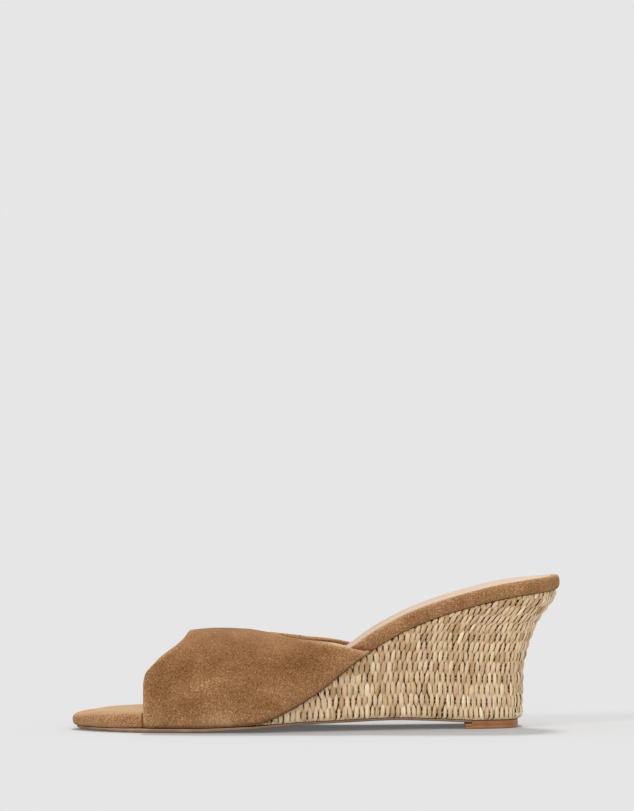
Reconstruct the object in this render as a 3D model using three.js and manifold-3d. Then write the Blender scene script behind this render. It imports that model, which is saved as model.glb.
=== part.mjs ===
// Wedge mule: a slip-on shoe with a suede band over the forefoot and a wedge heel covered in
// woven raffia. It is a left shoe. Millimetres, +Z up. The toe points to -X, the outer side of
// the foot is -Y, and the shoe stands on the plane z = 0 with its box centred on the origin.
//
// "Along" is the distance from the toe tip towards the heel. Heights are above the floor.
import * as THREE from "three";
import Module from "manifold-3d";

const wasm = await Module();
wasm.setup();

// Overall sizes
const LENGTH = 233; // footbed, toe tip to heel end
const BALL_WIDTH = 75.4; // footbed, across the ball of the foot
const HEEL_RISE = 62; // how far the footbed climbs from the tread to the heel
const SEAM = 0.3; // clearance between two pieces that touch

// Outsole and heel tip
const SOLE_THICK = 2;
const TOE_SPRING = 0.9;
const WAIST_LIFT = 4.7; // highest point of the outsole's underside
const TIP_LENGTH = 25.3;
const TIP_HEIGHT = 4;
const TIP_REBATE = 3.3; // how far the outsole's end runs into the heel tip

// Footbed and sock
const FOOTBED_THICK = 7.1;
const DISH = 0.9; // how far the middle of the footbed lies below its rim
const DISH_RUN = 9; // from the edge to the flat of the dish
const SOCK_THICK = 0.8;
const SOCK_SET_IN = 2.6; // from the footbed's edge to the sock's edge

// Wedge
const BACK_TAPER = 17.7; // how far the back of the wedge lies ahead of the seat at the floor
const FOOT_SQUARENESS = 0.45; // 1 keeps the seat's round back at the floor, less is squarer
const COVER_SET_IN = 1.7; // from the footbed's edge to the raffia under it
const COVER_PROUD = 1.1; // how far the raffia stands out over the outsole and the heel tip
const SOLE_SET_IN = COVER_SET_IN + COVER_PROUD; // from the footbed's edge to the outsole's edge
const STITCH_RELIEF = 0.45;
const STITCH_WIDTH = 5.6;
const FULL_RELIEF = 22; // height of the wedge from which its stitches stand out in full
const COURSES = 11; // rows of stitches at the heel
const WEDGE_GAP = 8.4; // from where the footbed starts to climb to the front of the wedge

// Upper
const WALL = 1.8;
const VAMP_HEIGHT = 47.6; // outside of the band at its highest
const RIDGE_LEAN = 3; // how far the band's ridge lies towards the big toe
const SIDE_BULGE = 1.3; // how far the band's sides swell past the footbed's edge
const BAND_EASE = 0.5; // clearance between the band and the footbed's rim
const EDGE_ROLL = 0.35; // folded edge, as a share of the wall
const VAMP_FULLNESS = 2.7; // exponent of the section: 2 is an ellipse, more is boxier

/** Turns rows of numbers into named columns. */
function columns(names, rows) {
  return Object.fromEntries(names.map((name, i) => [name, rows.map((row) => row[i])]));
}

// Footbed seen from above. Along is a share of LENGTH; the middle's offset towards the big
// toe and the half width are shares of BALL_WIDTH.
const PLAN = columns(["along", "middle", "half"], [
  [0.000, 0.020, 0.000],
  [0.022, 0.024, 0.172],
  [0.043, 0.026, 0.243],
  [0.078, 0.027, 0.328],
  [0.117, 0.027, 0.396],
  [0.147, 0.026, 0.430],
  [0.216, 0.021, 0.475],
  [0.302, 0.000, 0.500],
  [0.388, -0.040, 0.487],
  [0.475, -0.069, 0.431],
  [0.561, -0.072, 0.385],
  [0.647, -0.050, 0.365],
  [0.777, -0.016, 0.358],
  [0.885, 0.000, 0.338],
  [0.950, 0.000, 0.276],
  [1.000, 0.000, 0.000],
]);

// Outsole from the side. Spring and lift are shares of TOE_SPRING and WAIST_LIFT, heel is a
// share of the way from the waist's lift down to the heel tip, thick is a share of SOLE_THICK.
const TREAD = columns(["along", "spring", "lift", "heel", "thick"], [
  [0.00, 1.00, 0.00, 0.00, 0.52],
  [0.05, 0.40, 0.00, 0.00, 0.70],
  [0.11, 0.00, 0.00, 0.00, 0.92],
  [0.15, 0.00, 0.00, 0.00, 1.00],
  [0.25, 0.00, 0.00, 0.00, 1.00],
  [0.31, 0.00, 0.17, 0.00, 0.82],
  [0.38, 0.00, 0.36, 0.00, 0.70],
  [0.48, 0.00, 0.70, 0.00, 0.60],
  [0.56, 0.00, 0.83, 0.00, 0.60],
  [0.65, 0.00, 0.97, 0.00, 0.60],
  [0.73, 0.00, 1.00, 0.35, 0.60],
  [0.82, 0.00, 1.00, 1.00, 0.60],
]);

// How far the footbed's underside climbs, as a share of HEEL_RISE.
const CLIMB = columns(["along", "rise"], [
  [0.345, 0.000],
  [0.380, 0.012],
  [0.406, 0.043],
  [0.440, 0.098],
  [0.509, 0.256],
  [0.574, 0.447],
  [0.639, 0.617],
  [0.716, 0.761],
  [0.798, 0.863],
  [0.898, 0.952],
  [1.000, 1.000],
]);

// The footbed's thickness and the rounding of its rim, below and above, as shares of FOOTBED_THICK.
const RIM = columns(["along", "below", "above", "thick"], [
  [0.00, 0.12, 0.45, 0.70],
  [0.03, 0.14, 0.40, 0.82],
  [0.06, 0.15, 0.34, 0.95],
  [0.10, 0.16, 0.30, 1.00],
  [0.80, 0.22, 0.24, 1.00],
  [1.00, 0.34, 0.22, 1.00],
]);

// Where the outsole's edge lies inside the footbed's edge, as shares of SOLE_SET_IN.
// Under the band it stands out instead, to carry the band's lower edge.
const SOLE_EDGE = columns(["along", "set_in"], [
  [0.00, 0.72],
  [0.08, 0.40],
  [0.17, -0.30],
  [0.34, -0.30],
  [0.47, 1.00],
  [1.00, 1.00],
]);

// The wedge's foot is narrower than its top. Narrow is the share of the half width that is lost.
const NARROWING = columns(["along", "narrow"], [
  [0.36, 0.00],
  [0.50, 0.05],
  [0.65, 0.12],
  [0.80, 0.15],
  [1.00, 0.15],
]);

// The wedge's side flares out towards the seat: height share against share of the way out.
const FLARE = columns(["height", "out"], [
  [0.00, 0.00],
  [0.38, 0.04],
  [0.50, 0.12],
  [0.65, 0.29],
  [0.76, 0.47],
  [0.86, 0.79],
  [0.94, 0.97],
  [1.00, 1.00],
]);

// Ridge of the band from the side. Ahead of the toe opening and behind the throat it is the
// ridge that the last would have, which the band's sides follow. Height is a share of VAMP_HEIGHT.
const RIDGE = columns(["along", "height"], [
  [0.14, 0.86],
  [0.18, 0.93],
  [0.24, 0.978],
  [0.30, 1.00],
  [0.36, 0.988],
  [0.42, 0.948],
  [0.47, 0.965],
  [0.54, 1.11],
  [0.62, 1.38],
]);

// Cut edges of the band, by the share of the section's height, from the sole to the ridge.
const TOE_EDGE = columns(["height", "along"], [
  [0.00, 0.160],
  [0.05, 0.1525],
  [0.15, 0.1515],
  [0.50, 0.1515],
  [0.63, 0.155],
  [0.70, 0.167],
  [0.76, 0.184],
  [0.84, 0.209],
  [0.91, 0.226],
  [0.96, 0.235],
  [1.00, 0.241],
]);
const TOPLINE = columns(["height", "outer_side", "inner_side"], [
  [0.00, 0.615, 0.603],
  [0.03, 0.610, 0.600],
  [0.24, 0.584, 0.583],
  [0.40, 0.565, 0.564],
  [0.60, 0.538, 0.538],
  [0.79, 0.504, 0.505],
  [0.91, 0.472, 0.473],
  [0.97, 0.440, 0.441],
  [1.00, 0.420, 0.420],
]);

/** A smooth curve through given values that never overshoots them (monotone cubic). */
function curve(xs, ys) {
  const last = xs.length - 1;
  const slopes = xs.slice(1).map((x, i) => (ys[i + 1] - ys[i]) / (x - xs[i]));
  const tangents = xs.map((_, i) => {
    const before = slopes[Math.max(i - 1, 0)];
    const after = slopes[Math.min(i, last - 1)];
    return before * after <= 0 ? 0 : (2 * before * after) / (before + after);
  });
  return (x) => {
    if (x <= xs[0]) return ys[0];
    if (x >= xs[last]) return ys[last];
    const i = xs.findIndex((value) => value > x) - 1;
    const span = xs[i + 1] - xs[i];
    const t = (x - xs[i]) / span;
    const rise = ys[i + 1] - ys[i];
    const bend = t * (1 - t) * ((1 - t) * (tangents[i] * span - rise) - t * (tangents[i + 1] * span - rise));
    return ys[i] + t * rise + bend;
  };
}

// The last's lines, as functions of the distance from the toe tip in millimetres
const alongShare = (along) => along / LENGTH;
const lengthwise = (table, column) => {
  const line = curve(table.along, table[column]);
  return (along) => line(alongShare(along));
};
const middleShare = lengthwise(PLAN, "middle");
const halfSquared = curve(PLAN.along, PLAN.half.map((half) => half * half));
const springShare = lengthwise(TREAD, "spring");
const liftShare = lengthwise(TREAD, "lift");
const heelShare = lengthwise(TREAD, "heel");
const thickShare = lengthwise(TREAD, "thick");
const riseShare = lengthwise(CLIMB, "rise");
const ridgeShare = lengthwise(RIDGE, "height");
const narrowShare = lengthwise(NARROWING, "narrow");
const soleSetIn = lengthwise(SOLE_EDGE, "set_in");
const rimBelow = lengthwise(RIM, "below");
const rimAbove = lengthwise(RIM, "above");
const rimThick = lengthwise(RIM, "thick");
const flareOut = curve(FLARE.height, FLARE.out);

const WEDGE_START = CLIMB.along[0] * LENGTH;
const middle = (along) => BALL_WIDTH * middleShare(along);
// The half width's square is what the curve runs through, which rounds the toe and the heel.
const footbedHalf = (along) => BALL_WIDTH * Math.sqrt(halfSquared(alongShare(along)));
const soleThick = (along) => SOLE_THICK * thickShare(along);
// At the heel the outsole's top is level with the heel tip's.
const soleUnder = (along) => TOE_SPRING * springShare(along) + WAIST_LIFT * liftShare(along)
  + (TIP_HEIGHT - soleThick(along) - WAIST_LIFT) * heelShare(along);
const soleTop = (along) => soleUnder(along) + soleThick(along);
const footbedUnder = (along) => soleTop(Math.min(along, WEDGE_START)) + SEAM + HEEL_RISE * riseShare(along);
const ridgeHeight = (along) => VAMP_HEIGHT * ridgeShare(along);

/** How much longer a distance square to the footbed is when it is measured straight up. */
function steepness(along) {
  const step = 1;
  const slope = (footbedUnder(along + step) - footbedUnder(along - step)) / (2 * step);
  return Math.hypot(1, slope);
}

/** The footbed's thickness measured straight up, which is more where it climbs. */
const footbedRise = (along) => FOOTBED_THICK * rimThick(along) * steepness(along);

/** Height of the wedge's top, just under the footbed. */
const wedgeTop = (along) => footbedUnder(along) - SEAM * steepness(along);

/** How far the rim is rounded in from its widest line, at a share of the footbed's thickness. */
function rimInset(along, share) {
  const rounded = 0.42;
  const below = Math.max(0, 1 - share / rounded);
  const above = Math.min(1, Math.max(0, (share - 1 + rounded) / rounded));
  const depth = rimBelow(along) * (1 - Math.sqrt(1 - below * below))
    + rimAbove(along) * (1 - Math.sqrt(1 - above * above));
  return FOOTBED_THICK * depth;
}

/** Height of the footbed's top at a distance in from its edge. */
function footbedTop(along, inset) {
  const share = Math.min(1, inset / DISH_RUN);
  return footbedUnder(along) + footbedRise(along) - DISH * share * share * (3 - 2 * share);
}

// The wedge's foot ends ahead of the seat: along the floor everything behind TAPER_START is squeezed.
const TAPER_START = 0.6 * LENGTH;
const squeeze = BACK_TAPER / (LENGTH - TAPER_START);
const footAlong = (along) => along - squeeze * Math.max(0, along - TAPER_START);
const seatAlong = (along) => along + (squeeze / (1 - squeeze)) * Math.max(0, along - TAPER_START);
const FOOT_END = footAlong(LENGTH);
const TIP_FRONT = FOOT_END - SOLE_SET_IN - TIP_LENGTH;
const SOLE_END = TIP_FRONT + TIP_REBATE;

/** How much wider or narrower the wedge's foot is than its seat: less wide, with a squarer back. */
function footWidening(along) {
  const nearBack = along > TAPER_START;
  const roundness = nearBack ? Math.min(1, footbedHalf(along) / footbedHalf(TAPER_START)) : 1;
  return (1 - narrowShare(along)) * Math.max(roundness, 0.05) ** (FOOT_SQUARENESS - 1);
}

/** Half width of the wedge's foot, at a distance along the floor. */
function footHalf(along) {
  const above = seatAlong(along);
  return footbedHalf(above) * footWidening(above);
}

/** Distances along a rounded outline, closer together towards the ends that are round. */
function stations(from, to, count, roundFront, roundBack) {
  return Array.from({ length: count + 1 }, (_, i) => {
    const t = i / count;
    let share = t;
    if (roundFront && roundBack) share = (1 - Math.cos(Math.PI * t)) / 2;
    else if (roundFront) share = 1 - Math.cos((Math.PI * t) / 2);
    else if (roundBack) share = Math.sin((Math.PI * t) / 2);
    return from + (to - from) * share;
  });
}

/**
 * The outline of a piece as a closed ring of points {along, y}: the outer side from front to
 * back, then the inner side from back to front.
 */
function outline(alongs, half) {
  const outer = alongs.map((along) => ({ along, y: middle(along) - half(along) }));
  const inner = alongs.map((along) => ({ along, y: middle(along) + half(along) }));
  return [...outer, ...inner.reverse()];
}

/** The same ring moved inwards, by a distance that may depend on the place along the shoe. */
function insetRing(ring, distance) {
  const count = ring.length;
  const same = (p, q) => Math.hypot(p.along - q.along, p.y - q.y) < 1e-6;
  return ring.map((point, i) => {
    let before = ring[(i + count - 1) % count];
    let after = ring[(i + 1) % count];
    const cutFront = (i === 0 || i === count - 1) && !same(ring[0], ring[count - 1]);
    const cutBack = (i === count / 2 - 1 || i === count / 2) && !same(ring[count / 2 - 1], ring[count / 2]);
    if (same(point, before)) before = ring[(i + count - 2) % count];
    if (same(point, after)) after = ring[(i + 2) % count];
    if (cutFront && i === 0) before = point;
    if (cutFront && i === count - 1) after = point;
    if (cutBack && i === count / 2 - 1) after = point;
    if (cutBack && i === count / 2) before = point;
    const length = Math.hypot(after.along - before.along, after.y - before.y);
    const reach = distance(point.along);
    const inwards = { along: -(after.y - before.y) / length, y: (after.along - before.along) / length };
    const straight = cutFront || cutBack ? 0 : inwards.along;
    return { along: point.along + reach * straight, y: point.y + reach * inwards.y };
  });
}

/** Puts a ring at a height that depends on where each of its points lies. */
const raise = (ring, height) =>
  ring.map(({ along, y }, i) => new THREE.Vector3(along, y, height(along, i)));

/** A mesh geometry from points and faces, with points that coincide joined and flat faces dropped. */
function solidGeometry(points, faces) {
  const places = new Map();
  const position = [];
  const index = points.map((point) => {
    const key = point.toArray().map((value) => Math.round(value * 1e4)).join();
    if (!places.has(key)) {
      places.set(key, position.length / 3);
      position.push(...point.toArray());
    }
    return places.get(key);
  });
  const kept = faces
    .map((face) => face.map((corner) => index[corner]))
    .filter(([a, b, c]) => a !== b && b !== c && c !== a);
  const geometry = new THREE.BufferGeometry();
  geometry.setAttribute("position", new THREE.Float32BufferAttribute(position, 3));
  geometry.setIndex(kept.flat());
  geometry.computeVertexNormals();
  return geometry;
}

/**
 * A closed solid through rings of points from bottom to top. Each ring goes along the outer
 * side and back along the inner side, so the first and last ring are closed by strips across.
 */
function ringSolid(rings) {
  const count = rings[0].length;
  const points = rings.flat();
  const faces = [];
  for (let level = 0; level + 1 < rings.length; level += 1) {
    for (let i = 0; i < count; i += 1) {
      const next = (i + 1) % count;
      const [a, b] = [level * count + i, level * count + next];
      faces.push([a, b, b + count], [a, b + count, a + count]);
    }
  }
  const top = (rings.length - 1) * count;
  for (let i = 0; i + 1 < count / 2; i += 1) {
    const [outer, inner] = [i, count - 1 - i];
    faces.push([outer, inner, inner - 1], [outer, inner - 1, outer + 1]);
    faces.push([top + outer, top + inner - 1, top + inner], [top + outer, top + outer + 1, top + inner - 1]);
  }
  return solidGeometry(points, faces);
}

/** Outsole: thin, with the tread flat on the floor, ending inside the heel tip's rebate. */
function outsole() {
  const ring = insetRing(outline(stations(0, SOLE_END, 40, true, false), footHalf), soleInset);
  return ringSolid([raise(ring, soleUnder), raise(ring, soleTop)]);
}

/** How far the edge of the outsole and of the heel tip lies inside the footbed's edge. */
function soleInset(along) {
  return SOLE_SET_IN * soleSetIn(along);
}

/** Heel tip: a D-shaped top piece with a rebate at the front for the outsole's end. */
function heelTip() {
  const ring = insetRing(outline(stations(TIP_FRONT, FOOT_END, 14, false, true), footHalf), soleInset);
  const block = toManifold(ringSolid([raise(ring, () => 0), raise(ring, () => TIP_HEIGHT)]));
  const floor = Math.min(soleUnder(TIP_FRONT), soleUnder(SOLE_END)) - SEAM;
  const cutter = new THREE.BoxGeometry(2 * (TIP_REBATE + SEAM), 2 * BALL_WIDTH, 2 * (TIP_HEIGHT - floor));
  cutter.translate(TIP_FRONT, 0, TIP_HEIGHT);
  return fromManifold(block.subtract(toManifold(cutter)));
}

/** Footbed: a bent board with a rounded rim and a shallow dish on top. */
function footbed() {
  const edge = outline(stations(0, LENGTH, 46, true, true), footbedHalf);
  const rimShares = [0, 0.1, 0.25, 0.42, 0.6, 0.76, 0.9, 0.97];
  const rim = rimShares.map((share) => {
    const ring = insetRing(edge, (along) => rimInset(along, share));
    return raise(ring, (along) => footbedUnder(along) + share * footbedRise(along));
  });
  const top = [SOCK_SET_IN, DISH_RUN / 2, DISH_RUN].map((inset) =>
    raise(insetRing(edge, () => inset), (along) => footbedTop(along, inset)));
  return ringSolid([...rim, ...top]);
}

/** Insole sock: a thin sheet that follows the footbed's top. */
function insoleSock() {
  const edge = outline(stations(0, LENGTH, 46, true, true), footbedHalf);
  const layer = (inset, lift) =>
    raise(insetRing(edge, () => inset), (along) => footbedTop(along, inset) + SEAM * steepness(along) + lift);
  return ringSolid([
    layer(DISH_RUN, 0),
    layer(DISH_RUN / 2, 0),
    layer(SOCK_SET_IN, 0),
    layer(SOCK_SET_IN, 0.6 * SOCK_THICK),
    layer(SOCK_SET_IN + 0.5 * SOCK_THICK, SOCK_THICK),
    layer(DISH_RUN / 2, SOCK_THICK),
    layer(DISH_RUN, SOCK_THICK),
  ]);
}

/** Stations spaced evenly around the outline, so that the stitches are all as wide. */
function evenStations(from, to, half, width) {
  const fine = stations(from, to, 400, false, true);
  const run = [0];
  for (let i = 1; i < fine.length; i += 1) {
    run.push(run[i - 1] + Math.hypot(fine[i] - fine[i - 1], half(fine[i]) - half(fine[i - 1])));
  }
  const total = run[run.length - 1];
  const count = 2 * Math.round(total / width);
  return Array.from({ length: count + 1 }, (_, k) => {
    const goal = (total * k) / count;
    const i = Math.min(run.findIndex((value) => value >= goal - 1e-9), fine.length - 1);
    if (i <= 0) return fine[0];
    return fine[i - 1] + ((fine[i] - fine[i - 1]) * (goal - run[i - 1])) / (run[i] - run[i - 1]);
  });
}

/** Height of the wedge's underside, which rests on the outsole and on the heel tip. */
function wedgeUnder(along) {
  return (along < SOLE_END ? soleTop(along) : TIP_HEIGHT) + SEAM;
}

/** Wedge: between outsole and footbed, with the raffia's stitches raised in staggered courses. */
function wedge() {
  const alongs = evenStations(WEDGE_START + WEDGE_GAP, LENGTH, footbedHalf, STITCH_WIDTH);
  const top = insetRing(outline(alongs, footbedHalf), () => COVER_SET_IN);
  const foot = top.map(({ along, y }) => ({
    along: footAlong(along),
    y: middle(along) + (y - middle(along)) * footWidening(along),
  }));
  const rings = [];
  for (let level = 0; level <= 2 * COURSES; level += 1) {
    const share = level / (2 * COURSES);
    const out = flareOut(share);
    const flat = top.map((seat, i) => ({
      along: foot[i].along + out * (seat.along - foot[i].along),
      y: foot[i].y + out * (seat.y - foot[i].y),
    }));
    const tall = (i) => wedgeTop(top[i].along) - wedgeUnder(foot[i].along);
    const height = (i) => wedgeUnder(foot[i].along) + share * tall(i);
    const raised = (i) => {
      const onStitch = level % 2 === 1 && (i + (level - 1) / 2) % 2 === 0;
      return onStitch ? -STITCH_RELIEF * Math.min(1, tall(i) / FULL_RELIEF) : 0;
    };
    const ring = insetPoints(flat, raised);
    rings.push(ring.map(({ along, y }, i) => new THREE.Vector3(along, y, height(i))));
  }
  return ringSolid(rings);
}

/** Moves each point of a ring inwards by its own distance, given by its number in the ring. */
function insetPoints(ring, distance) {
  const moved = insetRing(ring, () => 1);
  return ring.map((point, i) => ({
    along: point.along + distance(i) * (moved[i].along - point.along),
    y: point.y + distance(i) * (moved[i].y - point.y),
  }));
}

// The band's cut edges, by the share of the section's height
const toeEdge = curve(TOE_EDGE.height, TOE_EDGE.along);
const topOuter = curve(TOPLINE.height, TOPLINE.outer_side);
const topInner = curve(TOPLINE.height, TOPLINE.inner_side);

/**
 * A point of the band's outside. Across runs over the foot from the outer side's feather line
 * (0) to the inner side's (1), and t runs from the toe edge (0) to the topline (1).
 */
function vampPoint(across, t) {
  const angle = Math.PI * across;
  const heightShare = Math.sin(angle) ** (2 / VAMP_FULLNESS);
  const widthShare = Math.abs(Math.cos(angle)) ** (2 / VAMP_FULLNESS);
  const outerSide = across < 0.5;
  const toe = LENGTH * toeEdge(heightShare);
  const topline = LENGTH * (outerSide ? topOuter : topInner)(heightShare);
  const along = toe + t * (topline - toe);
  const base = footbedUnder(along);
  const z = base + (ridgeHeight(along) - base) * heightShare;
  const tuck = rimInset(along, Math.min(0.5, (z - base) / footbedRise(along)));
  const bulge = SIDE_BULGE * Math.sin(Math.PI * heightShare);
  const reach = (footbedHalf(along) + BAND_EASE + WALL - tuck) * widthShare + bulge;
  const y = middle(along) + (outerSide ? -reach : reach) + RIDGE_LEAN * heightShare ** 3;
  return new THREE.Vector3(along, y, z);
}

/** Upper: one hollow band with a real wall, open at the toe, the throat and underneath. */
function upper() {
  const [acrossCount, alongCount] = [40, 14];
  const step = 1e-4;
  const outside = [];
  const inside = [];
  const rolled = [];
  for (let j = 0; j <= acrossCount; j += 1) {
    const across = Math.min(Math.max(j / acrossCount, step), 1 - step);
    for (let i = 0; i <= alongCount; i += 1) {
      const t = i / alongCount;
      const point = vampPoint(across, t);
      const sideways = vampPoint(across + step / 2, t).sub(vampPoint(across - step / 2, t));
      const backwards = vampPoint(across, Math.min(t + step, 1)).sub(vampPoint(across, Math.max(t - step, 0)));
      const inwards = sideways.clone().cross(backwards).normalize();
      outside.push(point);
      inside.push(point.clone().addScaledVector(inwards, WALL));
      if (i === 0 || i === alongCount) {
        const outwards = backwards.normalize().multiplyScalar(i === 0 ? -1 : 1);
        rolled.push(point.clone().addScaledVector(inwards, WALL / 2).addScaledVector(outwards, EDGE_ROLL * WALL));
      }
    }
  }
  const wide = alongCount + 1;
  const insideFrom = outside.length;
  const rolledFrom = 2 * outside.length;
  const faces = [];
  const quad = (a, b, c, d) => faces.push([a, b, c], [a, c, d]);
  for (let j = 0; j < acrossCount; j += 1) {
    for (let i = 0; i < alongCount; i += 1) {
      const a = j * wide + i;
      quad(a, a + 1, a + 1 + wide, a + wide);
      quad(insideFrom + a, insideFrom + a + wide, insideFrom + a + 1 + wide, insideFrom + a + 1);
    }
    const [front, back] = [j * wide, j * wide + alongCount];
    const [rollFront, rollBack] = [rolledFrom + 2 * j, rolledFrom + 2 * j + 1];
    quad(front, front + wide, rollFront + 2, rollFront);
    quad(rollFront, rollFront + 2, insideFrom + front + wide, insideFrom + front);
    quad(back + wide, back, rollBack, rollBack + 2);
    quad(rollBack + 2, rollBack, insideFrom + back, insideFrom + back + wide);
  }
  for (const [row, flip] of [[0, false], [acrossCount, true]]) {
    for (let i = 0; i < alongCount; i += 1) {
      const a = row * wide + i;
      if (flip) quad(a, a + 1, insideFrom + a + 1, insideFrom + a);
      else quad(a + 1, a, insideFrom + a, insideFrom + a + 1);
    }
    const [front, back] = [row * wide, row * wide + alongCount];
    const [rollFront, rollBack] = [rolledFrom + 2 * row, rolledFrom + 2 * row + 1];
    if (flip) faces.push([front, insideFrom + front, rollFront], [back, rollBack, insideFrom + back]);
    else faces.push([front, rollFront, insideFrom + front], [back, insideFrom + back, rollBack]);
  }
  return solidGeometry([...outside, ...inside, ...rolled], faces);
}

/** A manifold-3d solid from a closed three.js geometry whose corners are shared. */
function toManifold(geometry) {
  const position = geometry.getAttribute("position");
  const points = Array.from({ length: position.count }, (_, i) => new THREE.Vector3().fromBufferAttribute(position, i));
  const index = geometry.getIndex().array;
  const faces = Array.from({ length: index.length / 3 }, (_, i) => [...index.slice(3 * i, 3 * i + 3)]);
  const shared = solidGeometry(points, faces);
  return new wasm.Manifold(new wasm.Mesh({
    numProp: 3,
    vertProperties: new Float32Array(shared.getAttribute("position").array),
    triVerts: new Uint32Array(shared.getIndex().array),
  }));
}

function fromManifold(solid) {
  const mesh = solid.getMesh();
  const geometry = new THREE.BufferGeometry();
  geometry.setAttribute("position", new THREE.BufferAttribute(mesh.vertProperties, 3));
  geometry.setIndex(new THREE.BufferAttribute(mesh.triVerts, 1));
  geometry.computeVertexNormals();
  return geometry;
}

/** A named piece with a plain finish. */
function piece(name, geometry, color, roughness) {
  const material = new THREE.MeshStandardMaterial({ color, roughness, metalness: 0 });
  const mesh = new THREE.Mesh(geometry, material);
  mesh.name = name;
  return mesh;
}

const shoe = new THREE.Group();
shoe.add(
  piece("outsole", outsole(), 0x9a7254, 0.6),
  piece("heel_tip", heelTip(), 0x8f6240, 0.55),
  piece("wedge", wedge(), 0xc2a682, 0.7),
  piece("footbed", footbed(), 0x9a7050, 0.95),
  piece("insole_sock", insoleSock(), 0xdcc0a2, 0.6),
  piece("upper", upper(), 0x976d4b, 0.95),
);

// The origin is the middle of the shoe's box, on the floor.
const box = new THREE.Box3().setFromObject(shoe);
const centre = box.getCenter(new THREE.Vector3());
shoe.position.set(-centre.x, -centre.y, 0);

export default shoe;
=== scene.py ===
"""Wedge mule: the visible surfaces of a backless suede slip-on with a raffia-covered wedge heel.

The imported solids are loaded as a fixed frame. Every piece here repeats the lines of the last in
millimetres, as functions of the distance along the shoe, and is put into the frame in metres.
"""

import logging
import math
from dataclasses import dataclass
from enum import Enum

import bmesh
import bpy
import numpy as np
from mathutils import Matrix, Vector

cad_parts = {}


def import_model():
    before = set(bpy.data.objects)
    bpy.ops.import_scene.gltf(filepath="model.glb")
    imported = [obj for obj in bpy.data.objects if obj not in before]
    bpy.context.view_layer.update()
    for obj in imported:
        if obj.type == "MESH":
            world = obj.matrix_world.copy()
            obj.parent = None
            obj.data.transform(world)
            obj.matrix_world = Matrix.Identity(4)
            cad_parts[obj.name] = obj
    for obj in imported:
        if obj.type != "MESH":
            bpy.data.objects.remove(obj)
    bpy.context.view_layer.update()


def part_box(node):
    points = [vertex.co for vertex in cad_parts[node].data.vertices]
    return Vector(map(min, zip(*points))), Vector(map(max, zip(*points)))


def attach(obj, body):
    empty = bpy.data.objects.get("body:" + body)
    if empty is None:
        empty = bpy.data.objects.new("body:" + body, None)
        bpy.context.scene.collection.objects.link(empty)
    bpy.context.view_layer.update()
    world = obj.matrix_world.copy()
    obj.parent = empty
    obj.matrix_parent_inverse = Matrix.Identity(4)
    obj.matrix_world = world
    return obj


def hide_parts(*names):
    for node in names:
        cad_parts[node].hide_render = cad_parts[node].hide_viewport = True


Array = np.ndarray
LOG = logging.getLogger("wedge_mule")
MM = 0.001
TINY = 1e-12
# Corners closer than this are joined, and shorter edges are dropped, in metres
MERGE_DISTANCE = 2e-6
SHORTEST_EDGE = 1e-7
# A wave texture of scale 1 repeats at this distance, in metres
WAVE_RUN = 0.314


class Side(Enum):
    """Which face of the band a fold or a patch of painted shading lies on."""

    OUTER = "outer"
    INNER = "inner"
    TOP = "top"


def smoothstep(value: Array, low: float, high: float) -> Array:
    """Rises smoothly from 0 at low to 1 at high: 3t^2 - 2t^3 of the clamped share t.

    Args:
        value: numbers to map.
        low: where the step starts.
        high: where the step ends.

    Returns:
        The step's height for each number.
    """
    t = np.clip((value - low) / (high - low), 0.0, 1.0)
    return t * t * (3.0 - 2.0 * t)


def unit(vectors: Array) -> Array:
    """Vectors divided by their lengths.

    Args:
        vectors: an array whose last axis is x, y, z.

    Returns:
        The same directions, one unit long.
    """
    return vectors / np.maximum(np.linalg.norm(vectors, axis=-1, keepdims=True), TINY)


class Line:
    """A smooth curve through a table's values that never overshoots them.

    Between two rows it is the cubic whose end slopes are the harmonic means of the straight
    slopes on both sides, or nought where those change sign.
    """

    def __init__(self, xs: Array, ys: Array) -> None:
        """Keeps the rows and works out the slope at each.

        Args:
            xs: rising positions.
            ys: the value at each position.
        """
        self.xs = np.asarray(xs, float)
        self.ys = np.asarray(ys, float)
        slopes = np.diff(self.ys) / np.diff(self.xs)
        before = np.concatenate([slopes[:1], slopes])
        after = np.concatenate([slopes, slopes[-1:]])
        same_way = before * after > 0
        total = np.where(same_way, before + after, 1.0)
        self.tangents = np.where(same_way, 2.0 * before * after / total, 0.0)

    def __call__(self, x: Array) -> Array:
        """The curve's value.

        Args:
            x: positions, held at the first and last row beyond the table.

        Returns:
            The value at each position.
        """
        x = np.clip(x, self.xs[0], self.xs[-1])
        i = np.clip(np.searchsorted(self.xs, x, side="right") - 1, 0, len(self.xs) - 2)
        span = self.xs[i + 1] - self.xs[i]
        rise = self.ys[i + 1] - self.ys[i]
        t = (x - self.xs[i]) / span
        lead = (1.0 - t) * (self.tangents[i] * span - rise)
        trail = t * (self.tangents[i + 1] * span - rise)
        return self.ys[i] + t * rise + t * (1.0 - t) * (lead - trail)


def columns(names: list[str], rows: list[tuple[float, ...]]) -> dict[str, Array]:
    """Turns rows of numbers into named columns.

    Args:
        names: one name for each column.
        rows: the table.

    Returns:
        Each column's values under its name.
    """
    values = np.array(rows, float)
    return {name: values[:, i] for i, name in enumerate(names)}


# Footbed seen from above. Along is a share of the length, the rest are shares of the ball width.
PLAN = columns(["along", "middle", "half"], [
    (0.000, 0.020, 0.000),
    (0.022, 0.024, 0.172),
    (0.043, 0.026, 0.243),
    (0.078, 0.027, 0.328),
    (0.117, 0.027, 0.396),
    (0.147, 0.026, 0.430),
    (0.216, 0.021, 0.475),
    (0.302, 0.000, 0.500),
    (0.388, -0.040, 0.487),
    (0.475, -0.069, 0.431),
    (0.561, -0.072, 0.385),
    (0.647, -0.050, 0.365),
    (0.777, -0.016, 0.358),
    (0.885, 0.000, 0.338),
    (0.950, 0.000, 0.276),
    (1.000, 0.000, 0.000),
])
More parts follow.
